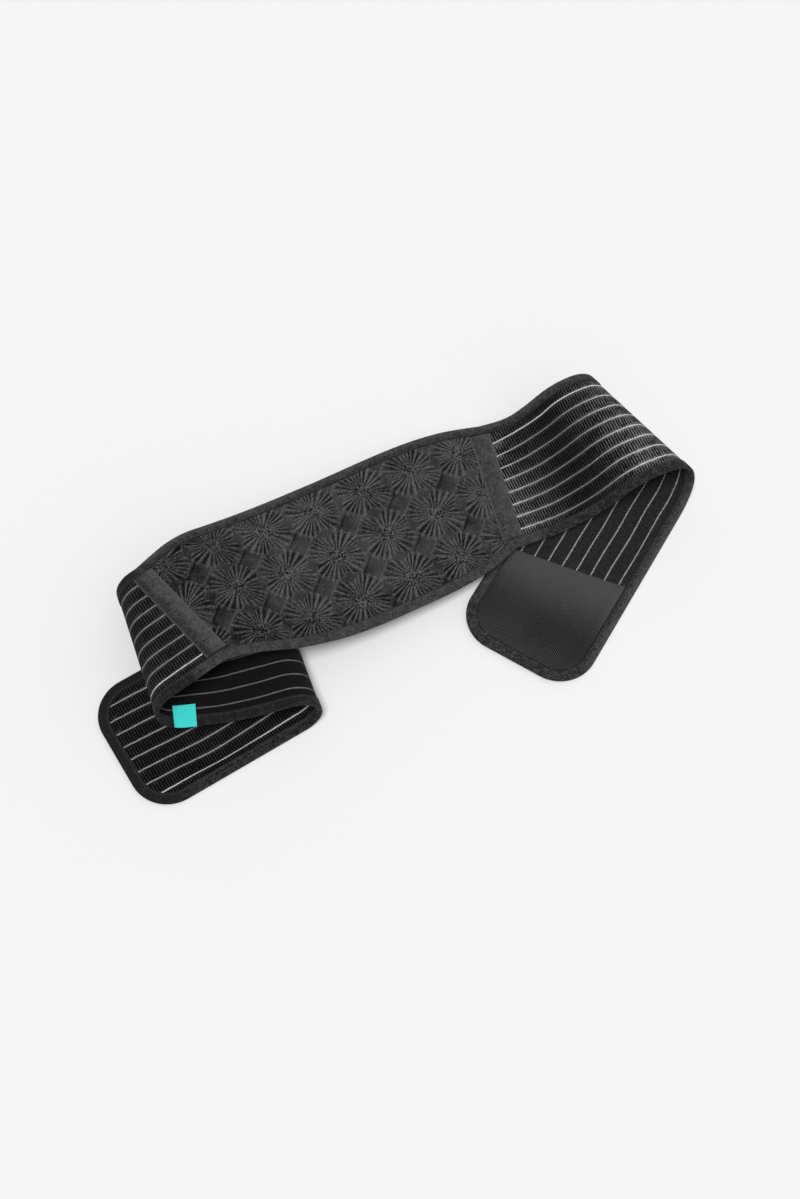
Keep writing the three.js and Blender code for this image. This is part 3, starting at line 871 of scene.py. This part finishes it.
def seam_tape(name, sign, light_lean):
    """A laid seam tape. Its last argument is how much lighter the tape is painted on the side away from the
    panel, as painted light; below 0 the panel side is lighter.
    """
    tape = cut_sheet(name, *TAPE_CELLS)
    thicken(tape, TAPE_CLOTH)
    grid = points_of(tape)
    half = HALF_WIDTH - BINDING_WIDTH - CLEARANCE
    offset = grid[:, 0] * TAPE_WIDTH / 2
    span = 2.0 * half + flare_at(sign, SEAM_REACH + offset + TAPE_TRIM)
    v = (grid[:, 1] + 1.0) / 2.0 * span - half
    w = v * SEAM_LEAN + offset
    from_lip = TAPE_WIDTH / 2 - np.abs(offset)
    top = grid[:, 2] > 0
    dome = TAPE_DOME * (1.0 - grid[:, 0] ** 2)
    h = TAPE_LIFT + TAPE_CLOTH / 2 + grid[:, 2] + dome
    h = np.where(top, h - stitch_dip(from_lip) - round_edges(grid[:, 0], TAPE_WIDTH, TAPE_CLOTH), h)
    note(tape, "cut", np.column_stack((v, from_lip, h)))
    # painted light: one side of the tape is painted lighter, where its dome faces the light
    note(tape, "painted_pile_light", 0.5 + light_lean * grid[:, 0])
    move_points(tape, lay_wing(sign, w, v, h))
    return tape


# name, the node it stands for, the wing below it, the side, and how much lighter its side away from the panel
# is painted, as painted light
TAPES = [
    ("right_seam_cover_tape", "right_seam_tape", "right_wing", 1, 0.15),
    ("left_seam_cover_tape", "left_seam_tape", "left_wing", -1, -0.5),
]
tapes = []
for name, node, wing_node, sign, light_lean in TAPES:
    tape = seam_tape(name, sign, light_lean)
    tapes.append(tape)
    finish_piece(tape, node)

# %% Hook patch
PATCH_THICK = 1.2
PATCH_LIFT = 0.5  # the patch bridges the sagging elastic
PATCH_LENGTH = 107.0  # from the wing's tip, on the centre line
PATCH_SLANT = 9.7  # degrees that its straight edge leans
SLANT_SHARE = 0.7  # share of the patch over which the lean runs out
PATCH_THINNING = 0.5  # share of its thickness that the patch loses at its straight edge
PATCH_ROUND = 1.0
PATCH_CELLS = (90, 90)

patch = cut_sheet("hook_patch_sheet", *PATCH_CELLS)
thicken(patch, PATCH_THICK)
grid = points_of(patch)
patch_inset = BINDING_WIDTH + CLEARANCE
start = RIGHT_LENGTH - PATCH_LENGTH
share = (grid[:, 0] + 1.0) / 2.0
w = start + share * (RIGHT_LENGTH - patch_inset - start)
v = grid[:, 1] * wing_half(RIGHT_LENGTH, w, patch_inset)
w = w + v * math.tan(math.radians(PATCH_SLANT)) * (1.0 - smooth(share / SLANT_SHARE))
top = grid[:, 2] > 0
_, _, sign, length, table_from, table_face = WINGS[0]
sag = sag_at(sign, length, table_from, table_face, w, v)
thin = PATCH_THINNING * PATCH_THICK * (1.0 - smooth(share * PATCH_LENGTH / PATCH_ROUND))
h = sag - CLOTH / 2 - PATCH_LIFT - PATCH_THICK / 2 + np.where(top, grid[:, 2], grid[:, 2] + thin)
note(patch, "cut", np.column_stack((w, v, h)))
move_points(patch, lay_wing(sign, w, v, h))
finish_piece(patch, "hook_patch")

# %% Label
LABEL_CLOTH = 0.5
LABEL_FROM, LABEL_TO = 95.5, 116.5  # along the left wing
LABEL_INNER, LABEL_OUTER = -43.5, -65.5  # across it
LABEL_CELLS = (24, 24)

label = cut_sheet("bare_label", *LABEL_CELLS)
thicken(label, LABEL_CLOTH)
grid = points_of(label)
w = LABEL_FROM + (grid[:, 0] + 1.0) / 2.0 * (LABEL_TO - LABEL_FROM)
v = LABEL_OUTER + (grid[:, 1] + 1.0) / 2.0 * (LABEL_INNER - LABEL_OUTER)
h = -CLOTH / 2 - 2 * CLEARANCE - BINDING_CLOTH - LABEL_CLOTH / 2 + grid[:, 2]
note(label, "cut", np.column_stack((w, v, h)))
move_points(label, lay_wing(-1, w, v, h))
finish_piece(label, "label")

# %% [markdown]
# ## Finishes
# All of it is dark cloth, so the finishes differ mostly in how their fibres catch the light.
# One node group gives every cloth its brushed fibres: a mottled shade and a fine height.
# Another draws the pale stripes from the cut, so both faces of a wing share them.

# %% Node helpers
def set_socket(tree, socket, value):
    """Fills a socket, with a value or with a link from another socket."""
    if isinstance(value, bpy.types.NodeSocket):
        tree.links.new(value, socket)
    else:
        socket.default_value = value


def fill(tree, made, values):
    """Fills the sockets of a node in order, and returns its first output."""
    for socket, value in zip(made.inputs, values):
        set_socket(tree, socket, value)
    return made.outputs[0]


def add_node(tree, kind, **inputs):
    """Adds a node and fills its sockets by name."""
    made = tree.nodes.new(kind)
    for name, value in inputs.items():
        set_socket(tree, made.inputs[name.replace("_", " ")], value)
    return made


def maths(tree, operation, *values):
    made = tree.nodes.new("ShaderNodeMath")
    made.operation = operation
    return fill(tree, made, values)


def total(tree, first, *others):
    for other in others:
        first = maths(tree, "ADD", first, other)
    return first


def times(tree, value, factor):
    return maths(tree, "MULTIPLY", value, factor)


def ramp(tree, value, low, high, to_low=0.0, to_high=1.0):
    """Maps value from low..high to to_low..to_high, smoothly and held at the ends."""
    made = tree.nodes.new("ShaderNodeMapRange")
    made.interpolation_type = "SMOOTHSTEP"
    return fill(tree, made, (value, low, high, to_low, to_high))


def noise(tree, place, scale, detail, roughness=0.5):
    made = add_node(tree, "ShaderNodeTexNoise", Vector=place, Scale=scale, Detail=detail, Roughness=roughness)
    return made.outputs[0]


def waves(tree, value, pitch):
    """A wave from -1 to 1 that repeats every pitch."""
    return maths(tree, "SINE", times(tree, value, 2 * math.pi / pitch))


def off_middle(tree, value, pitch):
    """How far a value is from the middle of its repeat, from 0 to 0.5."""
    turn = maths(tree, "FRACT", maths(tree, "DIVIDE", value, pitch))
    return maths(tree, "ABSOLUTE", maths(tree, "SUBTRACT", turn, 0.5))


def noted(tree, name, output="Fac"):
    """What a piece keeps under that name for each of its points."""
    made = tree.nodes.new("ShaderNodeAttribute")
    made.attribute_name = name
    return made.outputs[output]


print("patterns are made of noise, waves, ramps and what the pieces keep")

# %% Colours and groups
COOL = 0.0008  # every grey is a touch cool
MIX_SOCKETS = (0, 6, 7)  # a Mix node's share and its two colours
MIX_COLOUR = 2  # and the colour that it puts out


def grey(value):
    return (value, value, value + COOL, 1.0)


def blend_colours(tree, share, first, second):
    made = tree.nodes.new("ShaderNodeMix")
    made.data_type = "RGBA"
    for index, value in zip(MIX_SOCKETS, (share, first, second)):
        set_socket(tree, made.inputs[index], value)
    return made.outputs[MIX_COLOUR]


def greys(tree, share, dark, light):
    """A grey between dark and light."""
    return blend_colours(tree, share, grey(dark), grey(light))


def new_group(name, inputs, outputs):
    """An empty node group with its sockets. Each is a name and a kind of socket."""
    group = bpy.data.node_groups.new(name, "ShaderNodeTree")
    for in_out, sockets in (("INPUT", inputs), ("OUTPUT", outputs)):
        for socket_name, kind in sockets:
            group.interface.new_socket(socket_name, in_out=in_out, socket_type=kind)
    return group, group.nodes.new("NodeGroupInput"), group.nodes.new("NodeGroupOutput")


def place_group(tree, group, **inputs):
    made = tree.nodes.new("ShaderNodeGroup")
    made.node_tree = group
    for name, value in inputs.items():
        set_socket(tree, made.inputs[name.replace("_", " ")], value)
    return made


print("a middle grey:", grey(0.5))

# %% Brushed fibres
FINE_SHARE = 0.7  # the rest of the shade comes from coarser tufts
TUFT_TIMES = 3.5  # how many times coarser they are
FIBRE_CONTRAST = (0.32, 0.68)
fibres, given, result = new_group(
    "brushed fibres",
    [("Place", "NodeSocketVector"), ("Fibre size", "NodeSocketFloat")],
    [("Shade", "NodeSocketFloat"), ("Height", "NodeSocketFloat")],
)
fine_scale = maths(fibres, "DIVIDE", 1.0, given.outputs["Fibre size"])
tuft_scale = maths(fibres, "DIVIDE", fine_scale, TUFT_TIMES)
fine = noise(fibres, given.outputs["Place"], fine_scale, 2.0, roughness=0.7)
tufts = noise(fibres, given.outputs["Place"], tuft_scale, 1.0)
mixed = total(fibres, times(fibres, fine, FINE_SHARE), times(fibres, tufts, 1.0 - FINE_SHARE))
fibres.links.new(ramp(fibres, mixed, *FIBRE_CONTRAST), result.inputs["Shade"])
fibres.links.new(fine, result.inputs["Height"])
print("group:", fibres.name)

# %% Pale stripes
STRIPE_HALF = 0.56
STRIPE_SOFT = 0.15
WANDER = 0.5  # how far the thread strays from one rib to the next
WANDER_SCALE = 0.45
ZIGZAG = 0.15  # how far each rib pushes it aside
DRIFT = 1.4  # how far it strays along the wing
DRIFT_SCALE = 0.03
stripes, given, result = new_group(
    "pale stripes",
    [("Cut", "NodeSocketVector"), ("Half width", "NodeSocketFloat")],
    [("Stripe", "NodeSocketFloat")],
)
along, across, _ = add_node(stripes, "ShaderNodeSeparateXYZ", Vector=given.outputs["Cut"]).outputs
wander = times(stripes, noise(stripes, given.outputs["Cut"], WANDER_SCALE, 1.0), WANDER)
zigzag = times(stripes, waves(stripes, along, RIB_PITCH), ZIGZAG)
drift = times(stripes, noise(stripes, given.outputs["Cut"], DRIFT_SCALE, 0.0), DRIFT)
shift = maths(stripes, "SUBTRACT", total(stripes, wander, zigzag, drift), (WANDER + DRIFT) / 2)
distance = times(stripes, off_middle(stripes, total(stripes, across, shift), STRIPE_PITCH), STRIPE_PITCH)
inside = maths(stripes, "SUBTRACT", given.outputs["Half width"], distance)
stripes.links.new(ramp(stripes, inside, -STRIPE_SOFT, STRIPE_SOFT), result.inputs["Stripe"])
print("group:", stripes.name)

# %% A new cloth
SHEEN_ROUGHNESS = 0.5
CLOTH_SPECULAR = 0.07


def cloth_material(name, roughness, sheen):
    """A new material: its tree, its shader, its place in space and its place in the cut."""
    material = bpy.data.materials.new(name)
    material.use_nodes = True
    tree = material.node_tree
    shader = tree.nodes["Principled BSDF"]
    shader.inputs["Roughness"].default_value = roughness
    shader.inputs["Sheen Weight"].default_value = sheen
    shader.inputs["Sheen Roughness"].default_value = SHEEN_ROUGHNESS
    shader.inputs["Specular IOR Level"].default_value = CLOTH_SPECULAR
    place = add_node(tree, "ShaderNodeTexCoord").outputs["Object"]
    return material, tree, shader, place, noted(tree, "cut", "Vector")


def finish_cloth(tree, shader, colour, height, depth):
    """Gives the shader its colour, and a bump of that depth in metres."""
    tree.links.new(colour, shader.inputs["Base Color"])
    bump = add_node(tree, "ShaderNodeBump", Height=height, Distance=depth)
    tree.links.new(bump.outputs[0], shader.inputs["Normal"])


print("every cloth has a specular level of", CLOTH_SPECULAR)

# %% [markdown]
# ### Panel cloth
# The panel is charcoal yarn with knots in the hearts. The crests of the pleats and the raised lines are
# painted lighter, as a painted highlight, and the slits, the squares' shaded sides, the side arms, the left
# end and the near side darker, as painted shade.
# A picture could be painted for it, but the relief's own numbers are kept on its points already,
# so the material reads them and adds only fibres, knots and broad uneven patches.

# %% Panel cloth
YARN_GREYS = (0.004, 0.118)  # the darkest and the lightest yarn
MOTTLE = 0.36  # how much the fibres change the shade
PATCH_SCALE = 0.06
PATCHY = 0.10  # how much the shade changes from place to place
KNOT_SCALE = 0.85
KNOT_EDGES = (0.4, 0.6)
KNOT_DEPTH = 0.56  # how much darker it is between the knots
KNOT_SHARES = (0.05, 0.95)  # where the cloth is smooth, and where it is all knots

panel_cloth, tree, shader, place, cut = cloth_material("charcoal pleated cloth", 0.92, 0.04)
nap = place_group(tree, fibres, Place=place, Fibre_size=0.0007)
mottle = times(tree, maths(tree, "SUBTRACT", nap.outputs["Shade"], 0.5), MOTTLE)
patches = ramp(tree, noise(tree, cut, PATCH_SCALE, 1.0), 0.3, 0.7, -PATCHY, PATCHY)
knots = maths(tree, "SUBTRACT", ramp(tree, noise(tree, cut, KNOT_SCALE, 0.0), *KNOT_EDGES), KNOT_DEPTH)
knots = times(tree, knots, ramp(tree, noted(tree, "knotted"), 0.0, 1.0, *KNOT_SHARES))
yarn_shade = total(tree, noted(tree, "yarn_and_painted_light"), mottle, patches, knots)
finish_cloth(tree, shader, greys(tree, yarn_shade, *YARN_GREYS), nap.outputs["Height"], 0.0004)
panel.data.materials.append(panel_cloth)
print("material:", panel_cloth.name)

# %% [markdown]
# ### Elastic
# The ribs are near-black, with painted shade in their slits. Both faces are painted lighter where the elastic
# lies level or bends outwards, and darker on the way up the loop and on the left wing, as painted light and
# shade. The stripes are pale thread, broken up by fibres, and one of them gets a painted sheen. The inner
# face is brushed and has no ribs.
# Two materials on one sheet are simpler than a mask, as each face of the sheet has its own.

# %% Elastic, outer face
RIB_GREYS = (0.030, 0.22)  # the ribs in painted shade and in painted light
WORN_GREYS = (0.004, 0.022)  # the same ribs where they have lost their shine
WORN_PATCHES = 0.3  # how much of it they lose in broad patches, and then here and there
WORN_RIBS = 0.6
# painted shade in the slits between the ribs
SLIT_SHADE_GREY = 0.001
RIB_SIDE = (0.35, 0.95)  # part of the relief that turns from slit to rib
# the thread is painted darker in painted shade and lighter in painted light
THREAD_GREYS = (0.24, 0.82)
# a painted sheen on the last stripe on one side
SHEEN_STRIPE_GREY = 0.92
SHEEN_STRIPE_SHARE = 0.8
THREAD_GAPS = 0.45  # how much of the thread the fibres hide
GAP_GREY = 0.06

elastic_outer, tree, shader, place, cut = cloth_material("ribbed elastic", 0.85, 0.02)
nap = place_group(tree, fibres, Place=place, Fibre_size=0.0006)
stripe = place_group(tree, stripes, Cut=cut, Half_width=STRIPE_HALF).outputs["Stripe"]
lit_share = noted(tree, "painted_light")
in_patches = ramp(tree, noise(tree, place, 38.0, 1.0), 0.38, 0.62, 0.0, WORN_PATCHES)
here_and_there = ramp(tree, noise(tree, cut, 0.35, 2.0), 0.4, 0.65, 0.0, WORN_RIBS)
worn = greys(tree, nap.outputs["Shade"], *WORN_GREYS)
crown = blend_colours(tree, total(tree, in_patches, here_and_there), greys(tree, lit_share, *RIB_GREYS), worn)
tone = blend_colours(tree, ramp(tree, noted(tree, "relief"), *RIB_SIDE), grey(SLIT_SHADE_GREY), crown)
thread = greys(tree, lit_share, *THREAD_GREYS)
thread = blend_colours(tree, times(tree, noted(tree, "painted_sheen"), SHEEN_STRIPE_SHARE), thread, grey(SHEEN_STRIPE_GREY))
gaps = ramp(tree, nap.outputs["Shade"], 0.0, 1.0, THREAD_GAPS, 0.0)
pale = blend_colours(tree, gaps, thread, grey(GAP_GREY))
height = total(tree, nap.outputs["Height"], stripe)
finish_cloth(tree, shader, blend_colours(tree, stripe, tone, pale), height, 0.0003)
print("material:", elastic_outer.name)

# %% Elastic, inner face
# the brushed back and its thread are painted darker in painted shade and lighter in painted light
BRUSHED_GREYS = (0.010, 0.032)
SHADED_BACK_GREY = 0.006  # painted shade on the back, where the painted light is 0
BACK_THREAD_GREYS = (0.15, 0.42)
BACK_GAPS = 0.7
BACK_GAP_GREY = 0.08

elastic_inner, tree, shader, place, cut = cloth_material("brushed elastic back", 0.95, 0.03)
nap = place_group(tree, fibres, Place=place, Fibre_size=0.0008)
stripe = place_group(tree, stripes, Cut=cut, Half_width=STRIPE_HALF).outputs["Stripe"]
lit_share = noted(tree, "painted_light")
tone = blend_colours(tree, lit_share, grey(SHADED_BACK_GREY), greys(tree, nap.outputs["Shade"], *BRUSHED_GREYS))
gaps = ramp(tree, nap.outputs["Shade"], 0.0, 1.0, BACK_GAPS, 0.0)
pale = blend_colours(tree, gaps, greys(tree, lit_share, *BACK_THREAD_GREYS), grey(BACK_GAP_GREY))
finish_cloth(tree, shader, blend_colours(tree, stripe, tone, pale), nap.outputs["Height"], 0.0003)
for wing in wings.values():
    wing.data.materials.append(elastic_outer)
    wing.data.materials.append(elastic_inner)
print("material:", elastic_inner.name)

# %% [markdown]
# ### Brushed tape
# The binding and the seam tapes are the same brushed tape, sewn down along the lip. Hair particles could make
# its pile, but at this size it shows only as a soft mottled shade, so the fibres group draws it,
# and the stitches are drawn along the lip from the place across the tape.

# %% Brushed tape
STITCH_LENGTH = 3.2
STITCH_WIDTHS = (0.55, 0.25)  # off the stitch line: where a stitch ends, and where it is whole
STITCH_ENDS = (0.42, 0.34)  # the same along the line, as shares of a stitch
STITCH_GREY = 0.1
STITCH_SHOWS = 0.3
STITCH_HEIGHT = 0.6
# painted light and shade that each piece keeps: lighter on the binding's lit rim and on the tapes' lit side
PAINTED_LIGHT_RANGE = (-0.3, 0.9)
PAINTED_LIGHT_SHADES = (-0.75, 0.35)
# painted shade along the binding's lip and a painted highlight along the seam tapes' lip
LIP_EDGES = (0.7, 1.5)
LIP_SHOWS = 0.7


def brushed_tape(name, dark, light, lip):
    """Tape with a row of stitches along its lip. dark and light are greys of its pile, and lip is the grey
    painted along its lip: painted shade on the binding and a painted highlight on the seam tapes.
    """
    material, tree, shader, place, cut = cloth_material(name, 0.97, 0.06)
    nap = place_group(tree, fibres, Place=place, Fibre_size=0.0014)
    along, from_lip, _ = add_node(tree, "ShaderNodeSeparateXYZ", Vector=cut).outputs
    off_line = maths(tree, "ABSOLUTE", maths(tree, "SUBTRACT", from_lip, STITCH_IN))
    in_stitch = ramp(tree, off_middle(tree, along, STITCH_LENGTH), *STITCH_ENDS)
    stitch = times(tree, ramp(tree, off_line, *STITCH_WIDTHS), in_stitch)
    shade = total(tree, nap.outputs["Shade"], ramp(tree, noted(tree, "painted_pile_light"), *PAINTED_LIGHT_RANGE, *PAINTED_LIGHT_SHADES))
    tone = greys(tree, shade, dark, light)
    lip_tone = blend_colours(tree, LIP_SHOWS, tone, grey(lip))
    tone = blend_colours(tree, ramp(tree, from_lip, *LIP_EDGES), lip_tone, tone)
    tone = blend_colours(tree, times(tree, stitch, STITCH_SHOWS), tone, grey(STITCH_GREY))
    height = total(tree, nap.outputs["Height"], times(tree, stitch, STITCH_HEIGHT))
    finish_cloth(tree, shader, tone, height, 0.0005)
    print("material:", material.name)
    return material


binding.data.materials.append(brushed_tape("brushed charcoal binding", dark=0.014, light=0.076, lip=0.022))
tape_cloth = brushed_tape("brushed seam tape", dark=0.022, light=0.086, lip=0.110)
for tape in tapes:
    tape.data.materials.append(tape_cloth)

# %% [markdown]
# ### Hook tape and label
# The hook tape is a fine twill of tiny hooks, and a painted sheen falls off along the patch.
# Thousands of modelled hooks would not show, so two crossed waves give the twill its shade and its height.
# The label is a woven ribbon, with fine rows.

# %% Hook tape
HOOK_GREYS = (0.012, 0.085)
TWILL_PITCH = 1.9
TWILL_SLOPE = 0.6
WEAVE_SIZE = 0.25
WEAVE_SHOWS = 1.1
FIBRES_SHOW = 0.3
PRESSED_SCALE = 14.0
PRESSED = 0.06  # how much lighter or darker the hooks are where they are pressed down
SHEEN_FALL = (4.0, 64.0, 0.69, -0.03)  # painted sheen: from and to, in mm along the patch, and how light it is painted there
SHEEN_RISE = (65.0, 95.0, 0.0, 0.12)

hook, tree, shader, place, cut = cloth_material("fine hook tape", 0.8, 0.03)
nap = place_group(tree, fibres, Place=place, Fibre_size=0.0006)
along, across, _ = add_node(tree, "ShaderNodeSeparateXYZ", Vector=cut).outputs
slope = total(tree, along, times(tree, across, TWILL_SLOPE))
twill = waves(tree, slope, TWILL_PITCH)
weave = times(tree, total(tree, twill, waves(tree, across, TWILL_PITCH)), WEAVE_SIZE)
pressed = ramp(tree, noise(tree, place, PRESSED_SCALE, 1.0), 0.3, 0.7, -PRESSED, PRESSED)
on_patch = maths(tree, "SUBTRACT", along, RIGHT_LENGTH - PATCH_LENGTH)
sheen = total(tree, ramp(tree, on_patch, *SHEEN_FALL), ramp(tree, on_patch, *SHEEN_RISE))
woven_shade = total(tree, times(tree, weave, WEAVE_SHOWS), times(tree, nap.outputs["Shade"], FIBRES_SHOW))
colour = greys(tree, total(tree, woven_shade, pressed, sheen), *HOOK_GREYS)
finish_cloth(tree, shader, colour, weave, 0.0003)
patch.data.materials.append(hook)
print("material:", hook.name)

# %% Label cloth
LABEL_COLOURS = ((0.055, 0.88, 0.82, 1.0), (0.09, 0.97, 0.92, 1.0))
LABEL_ROWS = 0.9  # mm from row to row
ROWS_SHOW = 0.15

woven, tree, shader, place, cut = cloth_material("turquoise woven label", 0.7, 0.03)
nap = place_group(tree, fibres, Place=place, Fibre_size=0.0005)
across = add_node(tree, "ShaderNodeSeparateXYZ", Vector=cut).outputs[1]
rows = waves(tree, across, LABEL_ROWS)
shade = total(tree, times(tree, rows, ROWS_SHOW), nap.outputs["Shade"])
finish_cloth(tree, shader, blend_colours(tree, shade, *LABEL_COLOURS), rows, 0.00015)
label.data.materials.append(woven)
print("material:", woven.name)

# %% [markdown]
# ## Table, light and camera
# The table is a plain pale plane. A soft sun from above, a little in front, gives the narrow shadows
# under the edges, and a white sky that is brighter to the right shades the folds,
# as a wide studio lamp on that side does. The camera looks down steeply, as the photographer did.

# %% Table and light
FLOOR_SIZE = 12.0
FLOOR_GAP = 0.0002  # below the lowest cloth
FLOOR_GREY = 0.92
FLOOR_ROUGHNESS = 0.9
bpy.ops.object.select_all(action="DESELECT")
bpy.ops.mesh.primitive_plane_add(size=FLOOR_SIZE, location=(0, 0, -FLOOR_GAP))
floor = bpy.context.object
floor.name = "pale_table"
pale_table = bpy.data.materials.new("pale table")
pale_table.use_nodes = True
shader = pale_table.node_tree.nodes["Principled BSDF"]
shader.inputs["Base Color"].default_value = (FLOOR_GREY, FLOOR_GREY, FLOOR_GREY, 1.0)
shader.inputs["Roughness"].default_value = FLOOR_ROUGHNESS
floor.data.materials.append(pale_table)
print("table:", FLOOR_SIZE, "m wide")

# %% Light
SKY_STRENGTH = 0.36
SKY_LEAN = (0.33, 0.08, 0.0)  # how much brighter the sky is to the right and behind
SUN_STRENGTH = 2.11
SUN_ANGLE = 22.0  # degrees across, which makes its shadows soft
SUN_FROM = (-0.06, -0.30, 1.0)
sky = bpy.data.worlds.new("leaning sky")
sky.use_nodes = True
tree = sky.node_tree
background = tree.nodes["Background"]
background.inputs["Color"].default_value = (1.0, 1.0, 1.0, 1.0)
towards = add_node(tree, "ShaderNodeTexCoord").outputs["Generated"]
lean = tree.nodes.new("ShaderNodeVectorMath")
lean.operation = "DOT_PRODUCT"
fill(tree, lean, (towards, SKY_LEAN))
brightness = total(tree, lean.outputs["Value"], SKY_STRENGTH)
set_socket(tree, background.inputs["Strength"], brightness)
bpy.context.scene.world = sky
bpy.ops.object.light_add(type="SUN", location=SUN_FROM)
sun = bpy.context.object
sun.name = "soft_sun"
sun.data.energy = SUN_STRENGTH
sun.data.angle = math.radians(SUN_ANGLE)
sun.rotation_euler = Vector(SUN_FROM).to_track_quat("Z", "Y").to_euler()
print("sky:", SKY_STRENGTH, "and sun:", SUN_STRENGTH)

# %% Camera
CAMERA_ELEVATION = 67.2  # degrees above the table
CAMERA_DISTANCE = 1656.9  # mm
CAMERA_AIM = (-2.62, -9.20, 0.79)
FOCAL_PIXELS = 1800.0
PICTURE_LONG_SIDE = 1199.0  # pixels
SENSOR_WIDTH = 36.0
rise = math.radians(CAMERA_ELEVATION)
bpy.ops.object.camera_add()
camera = bpy.context.object
camera.name = "photo_camera"
camera.data.sensor_width = SENSOR_WIDTH
camera.data.lens = camera.data.sensor_width * FOCAL_PIXELS / PICTURE_LONG_SIDE
camera.location = (
    CAMERA_AIM[0] * MM,
    (CAMERA_AIM[1] - CAMERA_DISTANCE * math.cos(rise)) * MM,
    (CAMERA_AIM[2] + CAMERA_DISTANCE * math.sin(rise)) * MM,
)
camera.rotation_euler = (math.pi / 2 - rise, 0.0, 0.0)
bpy.context.scene.camera = camera
bpy.context.scene.view_settings.view_transform = "Standard"
print("lens:", round(camera.data.lens, 1), "mm")
